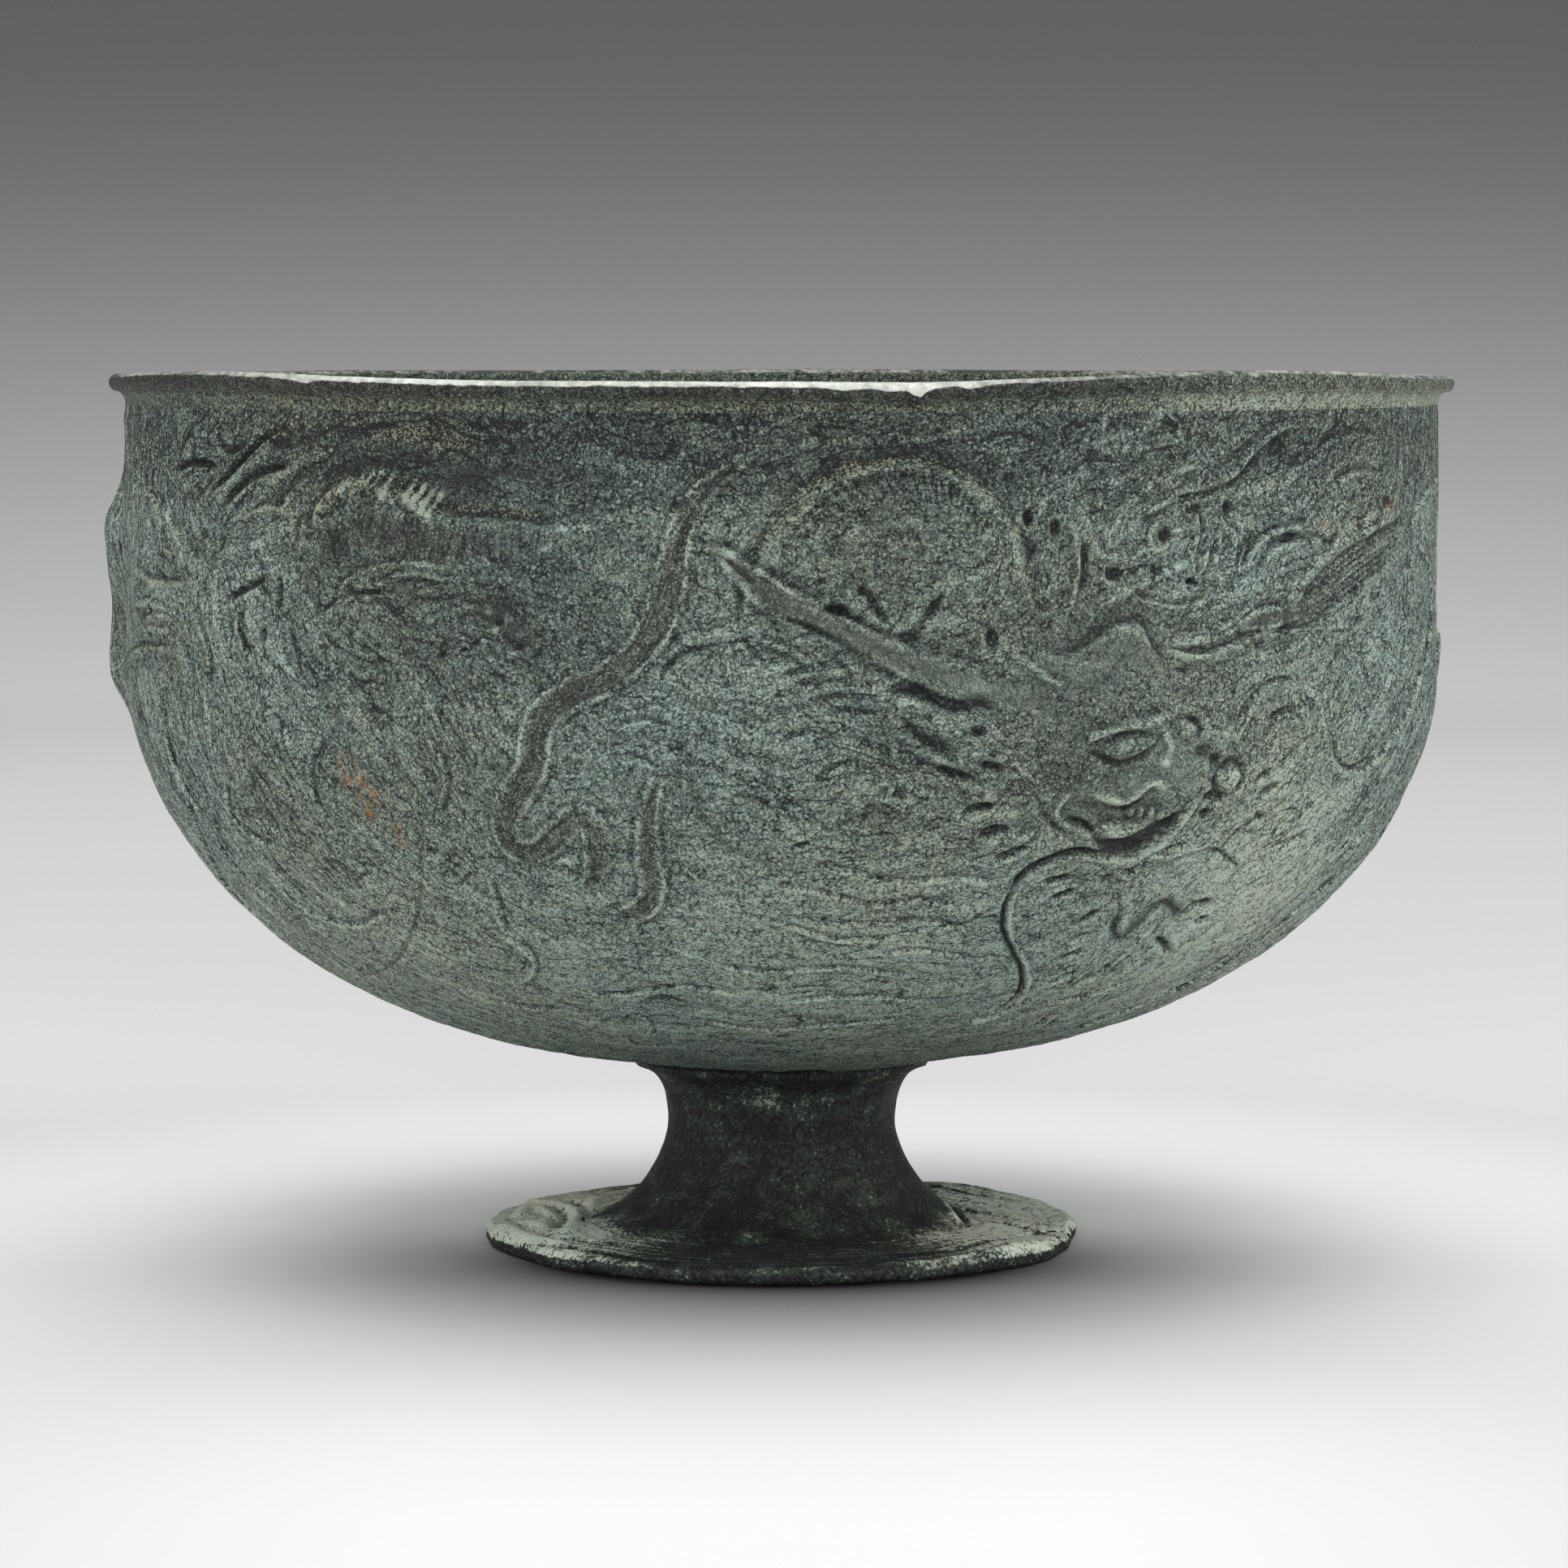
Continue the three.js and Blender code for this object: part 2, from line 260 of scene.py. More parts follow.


# Patina, which every bronze piece has: dark in hollows, pale and gritty on what stands proud,
# smooth and brown where it is rubbed, with ochre dust caught in corners
# The level that a piece feeds in also carries its painted light and painted shade.
patina = bpy.data.node_groups.new("patina", "ShaderNodeTree")
patina_inputs = {
    "Place": ("Vector", (0.0, 0.0, 0.0)), "Grain Scale": ("Float", 4600.0), "Grain": ("Float", 0.0),
    "Contrast": ("Float", 1.0), "Patch Scale": ("Float", 60.0), "Patchiness": ("Float", 0.18),
    "Level": ("Float", 0.0), "Rub": ("Float", 0.0), "Dust": ("Float", 0.0),
    "Dark": ("Color", colour(24, 29, 27)), "Ground": ("Color", colour(90, 101, 94)),
    "Pale": ("Color", colour(168, 182, 171)), "Rubbed": ("Color", colour(57, 60, 52)),
    "Dusty": ("Color", colour(152, 152, 122)),
}
for name, (kind, value) in patina_inputs.items():
    socket = patina.interface.new_socket(name, in_out="INPUT", socket_type="NodeSocket" + kind)
    socket.default_value = value
for name, kind in (("Colour", "Color"), ("Roughness", "Float"), ("Metallic", "Float"), ("Height", "Float")):
    patina.interface.new_socket(name, in_out="OUTPUT", socket_type="NodeSocket" + kind)
given = patina.nodes.new("NodeGroupInput").outputs


def hairlines(tree, place, scale, width):
    """Fine dark cracks that wander over a surface: 1 on a crack and 0 away from it."""
    away = maths(tree, "ABSOLUTE", noise(tree, place, scale, detail=3.0))
    return between(tree, width, 0.0, away, "LINEAR")


place = given["Place"]
grain_scale = given["Grain Scale"]
fine_grit = noise(patina, place, grain_scale)
coarse_grit = noise(patina, place, product(patina, grain_scale, 0.4))
patches = noise(patina, place, given["Patch Scale"], detail=3.0)
crackle = hairlines(patina, place, product(patina, grain_scale, 0.17), 0.03)
fine_crackle = hairlines(patina, place, product(patina, grain_scale, 0.42), 0.045)
flecks = between(patina, 0.16, 0.26, fine_grit)
grit = total(patina, (fine_grit, 1.6), (coarse_grit, 0.14), (flecks, 0.25), (crackle, -0.45),
             (fine_crackle, -0.32), 0.08, given["Grain"])
grit = product(patina, grit, given["Contrast"])
tone = total(patina, grit, 0.5, (patches, given["Patchiness"]), (given["Level"], 0.5))
body = blend(patina, between(patina, 0.0, 0.5, tone, "LINEAR"), given["Dark"], given["Ground"])
body = blend(patina, between(patina, 0.5, 1.0, tone, "LINEAR"), body, given["Pale"])
hue = total(patina, noise(patina, place, 42.0, detail=3.0), noise(patina, place, 900.0))
tinge = between(patina, -0.25, 0.25, hue)
tinge = blend(patina, tinge, (0.93, 1.0, 1.03, 1.0), (1.05, 1.0, 0.92, 1.0))
tinge_feeds = {0: 1.0, 6: body, 7: tinge}
body = put(patina, "ShaderNodeMix", tinge_feeds, data_type="RGBA", blend_type="MULTIPLY").outputs[2]
rubbed_tone = blend(patina, between(patina, -0.1, 0.5, tone, "LINEAR"), given["Dark"], given["Rubbed"])
rubbed_tone = blend(patina, between(patina, 0.5, 1.45, tone, "LINEAR"), rubbed_tone, given["Pale"])
body = blend(patina, product(patina, given["Rub"], 0.9), body, rubbed_tone)
dust_cover = product(patina, total(patina, (grit, 1.4), 0.42), given["Dust"])
body = blend(patina, between(patina, 0.3, 0.85, dust_cover), body, given["Dusty"])
dulled = total(patina, 0.7, (given["Rub"], -0.16), (grit, -0.25))
metal = total(patina, (given["Rub"], 0.2), 0.1)
put(patina, "NodeGroupOutput", {0: body, 1: dulled, 2: metal, 3: grit})


def patinated(name, bump, finish):
    """A bronze material under patina, and the node in it whose inputs can be fed further."""
    material = bpy.data.materials.new(name)
    material.use_nodes = True
    tree = material.node_tree
    place = put(tree, "ShaderNodeTexCoord", {}).outputs["Object"]
    coat = tree.nodes.new("ShaderNodeGroup")
    coat.node_tree = patina
    tree.links.new(place, coat.inputs["Place"])
    for key, value in finish.items():
        coat.inputs[key].default_value = value
    shader = tree.nodes["Principled BSDF"]
    bump_feeds = {"Height": coat.outputs["Height"], "Distance": bump * MM, "Strength": 0.9}
    roughened = put(tree, "ShaderNodeBump", bump_feeds).outputs["Normal"]
    for output, socket in (("Colour", "Base Color"), ("Roughness", "Roughness"), ("Metallic", "Metallic")):
        tree.links.new(coat.outputs[output], shader.inputs[socket])
    tree.links.new(roughened, shader.inputs["Normal"])
    return material, coat


def mark(tree, name):
    """Reads a mark that a piece's mesh carries at each point."""
    return put(tree, "ShaderNodeAttribute", {}, attribute_name=name).outputs["Fac"]


# The foot's pale colour is bright, to carry the painted light on the base's sides
foot_finish = {
    "Grain Scale": 3000.0, "Patch Scale": 260.0, "Patchiness": 1.0, "Dark": colour(8, 10, 8),
    "Ground": colour(58, 66, 59), "Pale": colour(206, 213, 198), "Rubbed": colour(60, 60, 54),
    "Dusty": colour(128, 126, 102),
}
foot_bronze, foot_coat = patinated("foot_bronze", 0.06, foot_finish)
foot_tree = foot_bronze.node_tree
for socket, name in (("Level", "level"), ("Dust", "dusty"), ("Contrast", "rough")):
    foot_tree.links.new(mark(foot_tree, name), foot_coat.inputs[socket])
foot = turned("foot_casting", foot_section, steps=400, unevenness=0.5, dents_per_metre=220, seed=7.0,
              material=foot_bronze)

# The base's lobes, the cloud chased on its top at the left, and chips along its edge
FOOT_LOBES = ((-62, 9, -0.5), (-38, 12, -0.45), (-8, 14, 0.25), (24, 10, -0.2), (58, 11, 0.55), (82, 9, -0.3),
              (120, 16, 0.35), (160, 14, -0.35), (205, 15, 0.3), (245, 12, -0.35))
EDGE_LIFTS = ((-70, 12, 0.25), (-25, 14, -0.25), (8, 10, -0.2), (52, 9, 0.55), (75, 8, -0.2), (140, 14, 0.3),
              (220, 14, -0.2))
BASE_TOP = 1.2
STROKE_TONE = 3.0
CHIP_SEED = 5
CHIP_COUNT = 70
CHIP_HEIGHTS = (0.3, 2.2)
CHIP_SIZES = (0.5, 1.5)
CHIP_DEPTHS = (0.1, 0.45)
BLOTCH_COUNT = 260
BLOTCH_SIZES = (0.4, 1.3)
BLOTCH_TONES = (-0.4, 0.42)
# Painted shade deepens the stem's dark patina; painted light brightens its top and the base's sides
STEM_PATINA_AND_PAINTED_SHADE = -0.74
STEM_TOP_PAINTED_LIGHT = 0.35
FRONT_BASE_TONE = 0.1
SIDE_BASE_PAINTED_LIGHT = 1.95
FRONT_EDGE_TONE = 0.25
SIDE_EDGE_TONE = -0.3
BASE_SWIRL_TONE = 0.3
STEM_SWIRL_TONE = 0.14
STEM_CONTRAST = 0.75
BASE_CONTRAST = 0.55


def mesh_points(piece):
    """Places of a mesh's points, in millimetres."""
    flat = np.zeros(len(piece.data.vertices) * 3, np.float32)
    piece.data.vertices.foreach_get("co", flat)
    return flat.reshape(-1, 3).astype(float) / MM


def move_points(piece, points):
    piece.data.vertices.foreach_set("co", (points * MM).astype(np.float32).ravel())
    piece.data.update()


def store_mark(mesh, name, values):
    """Stores a mark at each point of a mesh, for its material to read."""
    store = mesh.attributes.new(name, "FLOAT", "POINT")
    store.data.foreach_set("value", values.astype(np.float32))


def away_from(angle, centre, full=360):
    """Angle from a direction, the short way round."""
    return (angle - centre + full / 2) % full - full / 2


def step(low, high, value):
    """Smooth change from 0 to 1 as a value goes from low to high."""
    t = np.clip((value - low) / (high - low), 0, 1)
    return t * t * (3 - 2 * t)


def rippled(angle, ripples):
    """Sum of soft swells round the cup, each given by its angle, spread and height."""
    swells = np.zeros_like(angle)
    for centre, spread, height in ripples:
        swells += height * np.exp(-(away_from(angle, centre) / spread) ** 2)
    return swells


points = mesh_points(foot)
foot_reach = np.hypot(points[:, 0], points[:, 1])
foot_angle = np.degrees(np.arctan2(points[:, 0], -points[:, 1]))
outward = step(FLARE_RADIUS - 2, foot_radius, foot_reach)
upper = step(0.6, BASE_EDGE, points[:, 2])
points[:, :2] *= (1 + rippled(foot_angle, FOOT_LOBES) * outward / foot_radius)[:, None]
points[:, 2] += rippled(foot_angle, EDGE_LIFTS) * outward * upper
base_level = np.zeros(len(points))
on_base = (foot_reach > FLANGE_RADIUS) & (points[:, 2] > BASE_TOP)


def base_stroke(pixels, width, height):
    """Raises or cuts a stroke on the top of the base, where lines of sight meet it."""
    sight = sight_lines(pixels)
    path = (EYE + sight * ((toe[1] * MM - EYE[2]) / sight[:, 2])[:, None])[:, :2] / MM
    nearest = np.full(len(points), np.inf)
    for start, end in zip(path[:-1], path[1:]):
        stretch = end - start
        along = np.clip(((points[:, :2] - start) @ stretch) / (stretch @ stretch), 0, 1)
        off = points[:, :2] - start - along[:, None] * stretch
        nearest = np.minimum(nearest, np.hypot(off[:, 0], off[:, 1]))
    lift = np.where(on_base, height * np.exp(-(nearest / width) ** 2), 0)
    points[:, 2] += lift
    base_level[:] += STROKE_TONE * lift


base_ridges = (
    ((655, 1478), (683, 1481), (704, 1489), (712, 1502), (699, 1518)),
    ((640, 1496), (649, 1487), (667, 1487), (678, 1500), (667, 1511), (655, 1506)),
    ((714, 1500), (733, 1479), (780, 1463)), ((622, 1512), (650, 1524), (690, 1530)),
    ((1128, 1466), (1154, 1490), (1180, 1508)),
)
base_cuts = (
    ((690, 1486), (697, 1497), (690, 1512)), ((664, 1521), (717, 1526), (780, 1536)),
    ((668, 1494), (680, 1502), (684, 1512)), ((640, 1504), (652, 1514), (676, 1520)),
    ((708, 1478), (724, 1488), (716, 1506)), ((740, 1470), (764, 1466), (800, 1462)),
    ((1150, 1462), (1200, 1470), (1250, 1478)), ((1210, 1504), (1260, 1508), (1310, 1520)),
    ((700, 1544), (780, 1556), (880, 1562)), ((1000, 1564), (1100, 1562), (1190, 1552)),
    ((668, 1530), (740, 1540), (830, 1550)), ((1137, 1463), (1163, 1489), (1192, 1510)),
    ((1190, 1490), (1292, 1506)), ((1180, 1478), (1262, 1488)), ((1240, 1528), (1180, 1538), (1090, 1548)),
    ((1256, 1521), (1285, 1512), (1316, 1511)),
)
for ridge in base_ridges:
    base_stroke(ridge, width=0.7, height=0.35)
for cut in base_cuts:
    base_stroke(cut, width=0.45, height=-0.35)
chips = np.random.default_rng(CHIP_SEED)


def random_spot(radius, heights, sizes):
    """A soft spot at a random place round the foot."""
    across = np.radians(away_from(foot_angle, chips.uniform(-180, 180))) * radius
    off = np.hypot(across, points[:, 2] - chips.uniform(*heights))
    return np.exp(-(off / chips.uniform(*sizes)) ** 2)


near_edge = step(foot_radius - 1.6, foot_radius - 0.4, foot_reach)
for _ in range(CHIP_COUNT):
    bite = random_spot(foot_radius, CHIP_HEIGHTS, CHIP_SIZES) * near_edge
    points[:, :2] *= (1 - chips.uniform(*CHIP_DEPTHS) * bite / foot_radius)[:, None]
points[:, 2] = np.clip(points[:, 2], 0, None)
move_points(foot, points)

# Tones of the foot: painted light on the base's sides, dark and blotched on the stem, with faint swirls
top_side = points[:, 2] > BASE_TOP
base_side = step(0.35, 0.95, np.abs(np.sin(np.radians(foot_angle))))
base_share = step(FLARE_RADIUS - 4, FLARE_RADIUS + 2, foot_reach) * top_side
edge_share = step(foot_radius - 1.4, foot_radius - 0.4, foot_reach)
on_stem = step(FLARE_RADIUS + 1, FLARE_RADIUS - 3, foot_reach)
# Painted light on the base's sides and the stem's top, painted shade with the patina on the stem
base_level += (FRONT_BASE_TONE + SIDE_BASE_PAINTED_LIGHT * base_side) * base_share + STEM_PATINA_AND_PAINTED_SHADE
base_level += (FRONT_EDGE_TONE + SIDE_EDGE_TONE * base_side) * edge_share
base_level += STEM_TOP_PAINTED_LIGHT * step(11.5, 16, points[:, 2])
sway = 2.2 * np.sin(np.radians(foot_angle) * 4) + 1.3 * np.sin(np.radians(foot_angle) * 9)
base_level += BASE_SWIRL_TONE * np.sin(foot_reach * 4.6 + sway) * (1 - on_stem) * top_side
base_level += STEM_SWIRL_TONE * np.sin(points[:, 2] * 3.8 + sway) * on_stem
base_rough = STEM_CONTRAST + BASE_CONTRAST * (1 - on_stem) * base_side
for _ in range(BLOTCH_COUNT):
    blotch = random_spot(WAIST_RADIUS, (2, foot_height), BLOTCH_SIZES)
    base_level += chips.uniform(*BLOTCH_TONES) * blotch * on_stem
base_dust = 0.5 * step(FLARE_RADIUS, foot_radius, foot_reach) * step(-20, -60, foot_angle) * top_side
for name, values in (("level", base_level), ("dusty", base_dust), ("rough", base_rough)):
    store_mark(foot.data, name, values)
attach(foot, "root")
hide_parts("foot")

# Foot solder: a thin bed of soft solder, run in between the stem's flange and the underside of the bowl.
# It keeps its plain turned shape and is nearly hidden; its skin is dull grey and uneven.
solder = bpy.data.materials.new("solder")
solder.use_nodes = True
solder_tree = solder.node_tree
solder_shader = solder_tree.nodes["Principled BSDF"]
solder_place = put(solder_tree, "ShaderNodeTexCoord", {}).outputs["Object"]
solder_skin = between(solder_tree, -0.25, 0.25, noise(solder_tree, solder_place, 900.0, detail=4.0))
solder_colour = blend(solder_tree, solder_skin, colour(58, 60, 57), colour(112, 114, 108))
solder_bump = put(solder_tree, "ShaderNodeBump", {"Height": solder_skin, "Distance": 0.05 * MM})
solder_tree.links.new(solder_colour, solder_shader.inputs["Base Color"])
solder_tree.links.new(between(solder_tree, 1.6, -0.6, solder_skin), solder_shader.inputs["Roughness"])
solder_tree.links.new(solder_bump.outputs["Normal"], solder_shader.inputs["Normal"])
solder_shader.inputs["Metallic"].default_value = 0.7
bpy.data.objects["foot_solder"].material_slots[0].material = solder

# Bowl: one bronze casting with a rounded belly, an upright wall and a rebate inside its mouth for the rim.
# A dragon among clouds and surf is cast with the wall in low relief and chased with fine strokes.
# Its mesh is cut into six sectors that meet edge to edge, so that the relief can be fine enough.
BOWL_WALL = 2.4
BOWL_FLOOR = 2.8
BELLY_DEPTH = 35.4
BELLY_ROUNDNESS = 1.72
BELLY_FULLNESS = 2.66
SEAT_PAD_RADIUS = 11.5
RIVET_SEAT_RADIUS = 6.0
RIM_SKIRT = 0.9
RIM_LAP = 2.2
RIM_SOLDER = 0.3
FRONT_HALF = 96
FRONT_COLUMNS = 1008
BACK_COLUMNS = 512
ROW_STEP = 0.25
SLOW_RADIUS = 30
FULL_TURN = 2 * math.pi
NEAREST_SIGHT = 0.46
FARTHEST_SIGHT = 0.57
SIGHT_STEPS = 1200

bowl_low, bowl_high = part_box("bowl")
belly_radius = bowl_high[0] / MM
seat_level = bowl_low[2] / MM
shoulder_level = bowl_high[2] / MM
upright_level = seat_level + BELLY_DEPTH
floor_level = seat_level + BOWL_FLOOR
inner_radius = belly_radius - BOWL_WALL
rebate_radius = inner_radius + RIM_SKIRT + RIM_SOLDER


def belly_section(radius, depth, start, steps):
    """Radius and height of the belly's superellipse, from near the axis out to the upright wall."""
    first = math.asin((start / radius) ** (BELLY_FULLNESS / 2))
    turn = np.linspace(first, math.pi / 2, steps)
    drop = depth * np.cos(turn).clip(0) ** (2 / BELLY_ROUNDNESS)
    return radius * np.sin(turn) ** (2 / BELLY_FULLNESS), upright_level - drop


# The wall's outside as a curve, measured by its run from the seat pad up to the shoulder
section_radius, section_height = belly_section(belly_radius, BELLY_DEPTH, SEAT_PAD_RADIUS, steps=900)
section_radius = np.append(section_radius, belly_radius)
section_height = np.append(section_height, shoulder_level)
section_run = np.append(0, np.cumsum(np.hypot(np.diff(section_radius), np.diff(section_height))))
wall_run = section_run[-1]

row_run = np.linspace(0, wall_run, int(wall_run / ROW_STEP) + 1)
row_radius = np.interp(row_run, section_run, section_radius)
row_height = np.interp(row_run, section_run, section_height)
row_slope = np.arctan2(np.gradient(row_height), np.gradient(row_radius))

# Columns round the wall: close together across the front and wider apart across the back
COLUMNS = FRONT_COLUMNS + BACK_COLUMNS
column_angle = np.radians(np.append(
    np.linspace(-FRONT_HALF, FRONT_HALF, FRONT_COLUMNS, endpoint=False),
    np.linspace(FRONT_HALF, 360 - FRONT_HALF, BACK_COLUMNS, endpoint=False),
))
column_gap = np.diff(np.append(column_angle, column_angle[0] + FULL_TURN))

relief = np.zeros((len(row_run), COLUMNS))
# Fields of rubbing, pale wear with painted highlights, dust, rust, stains with painted shade, and smoothness
rubbed, pale_wear_and_highlight, dusty, rusty, stain_and_painted_shade, smoothed = np.zeros((6, *relief.shape))
followed, follow_turn = np.zeros((2, *relief.shape))
grid_radius = np.broadcast_to(row_radius[:, None], relief.shape)
grid_run = np.broadcast_to(row_run[:, None], relief.shape)


def seen(*pixels):
    """Places on the wall, as angle and run, where lines of sight through points of the picture meet it."""
    sight = sight_lines(pixels)
    distance = np.linspace(NEAREST_SIGHT, FARTHEST_SIGHT, SIGHT_STEPS)
    point = (EYE + sight[:, None, :] * distance[None, :, None]) / MM
    wall = np.interp(point[..., 2], section_height, section_radius)
    outside = np.hypot(point[..., 0], point[..., 1]) - wall
    meets = np.where((outside < 0).any(axis=1), (outside < 0).argmax(axis=1), outside.argmin(axis=1))
    hit = point[np.arange(len(point)), meets]
    return np.arctan2(hit[:, 0], -hit[:, 1]), np.interp(hit[:, 2], section_height, section_run)


def placed(*places):
    """Places on the wall, as angle and run, from degrees round the cup and heights in millimetres."""
    places = np.array(places, float)
    return np.radians(places[:, 0]), np.interp(places[:, 1], section_height, section_run)


def smooth(path, steps=7):
    """A curve through the points of a path, with the share of the way along at each point."""
    angle, run = path
    if len(angle) < 3:
        share = np.linspace(0, 1, steps)
        return np.interp(share, (0, 1), angle), np.interp(share, (0, 1), run), share
    knots = np.column_stack((angle, run))
    padded = np.vstack((2 * knots[0] - knots[1], knots, 2 * knots[-1] - knots[-2]))
    t = np.linspace(0, 1, steps, endpoint=False)[:, None]
    pieces = []
    for before, start, end, after in zip(padded, padded[1:], padded[2:], padded[3:]):
        pieces.append(
            0.5 * (2 * start + (end - before) * t
                   + (2 * before - 5 * start + 4 * end - after) * t ** 2
                   + (3 * start - before - 3 * end + after) * t ** 3)
        )
    curve = np.vstack(pieces + [knots[-1:]])
    return curve[:, 0], curve[:, 1], np.linspace(0, 1, len(curve))


def near(path, reach):
    """Part of the wall within reach of a path, with its distance, side and share of the way along."""
    angle, run, share = smooth(path)
    rows = np.flatnonzero((row_run > run.min() - reach) & (row_run < run.max() + reach))
    middle = (angle.min() + angle.max()) / 2
    away = away_from(column_angle, middle, FULL_TURN)
    spread = (angle.max() - angle.min()) / 2 + reach / max(row_radius[rows].min(), 6)
    window = np.ix_(rows, np.flatnonzero(np.abs(away) < spread))
    across = np.broadcast_to(away[window[1]] + middle, relief[window].shape)
    radius = grid_radius[window]
    height = grid_run[window]
    least = np.full(across.shape, np.inf)
    side = np.ones(across.shape)
    along = np.zeros(across.shape)
    for i in range(len(angle) - 1):
        start_x = (angle[i] - across) * radius
        start_y = run[i] - height
        step_x = (angle[i + 1] - angle[i]) * radius
        step_y = run[i + 1] - run[i]
        t = np.clip(-(start_x * step_x + start_y * step_y) / (step_x ** 2 + step_y ** 2 + 1e-12), 0, 1)
        x = start_x + t * step_x
        y = start_y + t * step_y
        distance = np.hypot(x, y)
        closer = distance < least
        least[closer] = distance[closer]
        along[closer] = (share[i] + t * (share[i + 1] - share[i]))[closer]
        side[closer] = np.sign(step_x * y - step_y * x)[closer]
    return window, least, side, along


def ends(along, first=0.12, last=0.12):
    """Fades a stroke out towards both ends of its path."""
    fade = np.ones_like(along)
    if first:
        fade = fade * step(0, first, along)
    if last:
        fade = fade * step(0, last, 1 - along)
    return fade


def share_out(values, along):
    """Value at each share of the way along a path, from values spaced evenly on it."""
    values = np.atleast_1d(values)
    return np.interp(along, np.linspace(0, 1, len(values)), values)


def half_width(width, along):
    return share_out(width, along) / 2 + 1e-6


def follow(path, window, along, share, lay=0.0):
    """Lays the fine strokes of the surface along a path, or at an angle to it in degrees."""
    angle, run, place = smooth(path)
    radius = np.interp(run, row_run, row_radius)
    turn = np.unwrap(np.arctan2(np.gradient(run), np.gradient(angle) * radius)) + math.radians(lay)
    stronger = share > followed[window]
    follow_turn[window] = np.where(stronger, np.interp(along, place, turn), follow_turn[window])
    raise_to(followed, window, share)


def raise_to(field, window, amount):
    field[window] = np.maximum(field[window], amount)


def swell(path, width, height):
    """Raises the wall softly along a path."""
    window, distance, _, along = near(path, np.max(width) * 1.3)
    relief[window] += height * np.exp(-(distance / half_width(width, along)) ** 2 * 1.4)


def tint(field, path, width, amount):
    """Spreads a mark along a path: wear, dust, rust, stains, smoothness, painted highlights and painted
    shade.
    """
    window, distance, _, along = near(path, np.max(width) * 1.3)
    raise_to(field, window, amount * np.exp(-(distance / half_width(width, along)) ** 2 * 1.4))


def cord(path, width, height, fade=0.12, dust=0.0, cut=0.0):
    """Raises a thin round ridge with a pale top along a path, with a hairline cut to its left if asked."""
    window, distance, side, along = near(path, np.max(width) + 2)
    half = half_width(width, along) * 0.7
    shown = ends(along, fade, fade)
    relief[window] += height * 0.85 * (1 - step(0.1, 1.0, distance / half)) * shown
    relief[window] -= cut * np.exp(-((distance * side + half + 0.12) / 0.24) ** 2) * shown
    raise_to(pale_wear_and_highlight, window, 0.25 * (1 - step(0.0, 0.8, distance / half)) * shown)
    raise_to(dusty, window, dust * np.exp(-((distance - half) / 0.6) ** 2) * ends(along))
    follow(path, window, along, 0.8 * np.exp(-(distance / (half + 1.0)) ** 2) * shown)


def band(path, width, height, fade=(0.05, 0.05), rub=0.9, dust=0.3, edge=0.3, lip=0.06, lay=0.0):
    """Lays a flat ribbon along a path, its face rubbed smooth between two thin pale edges."""
    window, distance, _, along = near(path, np.max(width) + 2)
    half = half_width(width, along)
    shown = ends(along, *fade)
    inside = 1 - step(half - edge, half + edge, distance)
    border = np.exp(-((distance - half) / 0.2) ** 2)
    outline = np.exp(-((distance - half - 0.45) / 0.22) ** 2)
    worn = share_out(rub, along) * shown
    relief[window] += (height * inside + lip * border - 1.5 * lip * outline) * shown
    raise_to(rubbed, window, worn * (1 - step(half - edge - 0.1, half, distance)))
    raise_to(pale_wear_and_highlight, window, 10 * lip * worn * border)
    raise_to(dusty, window, dust * np.exp(-((distance - half - 0.1) / 0.35) ** 2) * shown)
    follow(path, window, along, inside * shown, lay)


def gouge(path, width, depth, fade=0.3):
    """Cuts a groove along a path, fading out at its ends, with a slight burr on either side."""
    window, distance, _, along = near(path, np.max(width) * 1.5 + 1)
    shown = ends(along, fade, fade)
    half = half_width(width, along) * (0.3 + 0.45 * shown)
    burr = np.exp(-((distance - half * 1.5) / (half * 0.7)) ** 2)
    relief[window] += (0.22 * depth * burr - depth * np.exp(-(distance / half) ** 2 * 1.6)) * shown


def ledge(path, height, inner=4.0, outer=1.8, dip=0.45, edge=0.25, fade=0.15, dust=0.0):
    """Raises the wall to the right of a path and lowers it to the left, as one form that overlaps another."""
    window, distance, side, along = near(path, max(inner, outer) * 2.6)
    right = distance * side
    shown = ends(along, fade, fade)
    over = step(-edge, edge, right)
    raised = over * np.exp(-np.clip(right, 0, None) / inner)
    sunk = (1 - over) * np.exp(-np.clip(-right, 0, None) / outer)
    relief[window] += height * (raised - dip * sunk) * shown
    raise_to(dusty, window, dust * np.exp(-(distance / 0.7) ** 2) * shown)
    follow(path, window, along, 0.7 * np.exp(-(distance / 2.0) ** 2) * shown)


def boss(place, size, height, turn=0.0, ring=0.0):
    """Raises, or with a negative height sinks, an oval knob, with a groove round it if asked."""
    angle, run = place
    reach = max(size) * 2.2
    rows = np.flatnonzero(np.abs(row_run - run[0]) < reach)
    away = away_from(column_angle, angle[0], FULL_TURN)
    window = np.ix_(rows, np.flatnonzero(np.abs(away) * row_radius[rows].min() < reach * 1.3))
    x = np.broadcast_to(away[window[1]], relief[window].shape) * grid_radius[window]
    y = grid_run[window] - run[0]
    lean = math.radians(turn)
    long = (x * math.cos(lean) + y * math.sin(lean)) / size[0]
    short = (y * math.cos(lean) - x * math.sin(lean)) / size[1]
    distance = np.hypot(long, short)
    relief[window] += height * (1 - step(0.35, 1.1, distance))
    relief[window] -= ring * np.exp(-((distance - 1.3) / 0.28) ** 2)


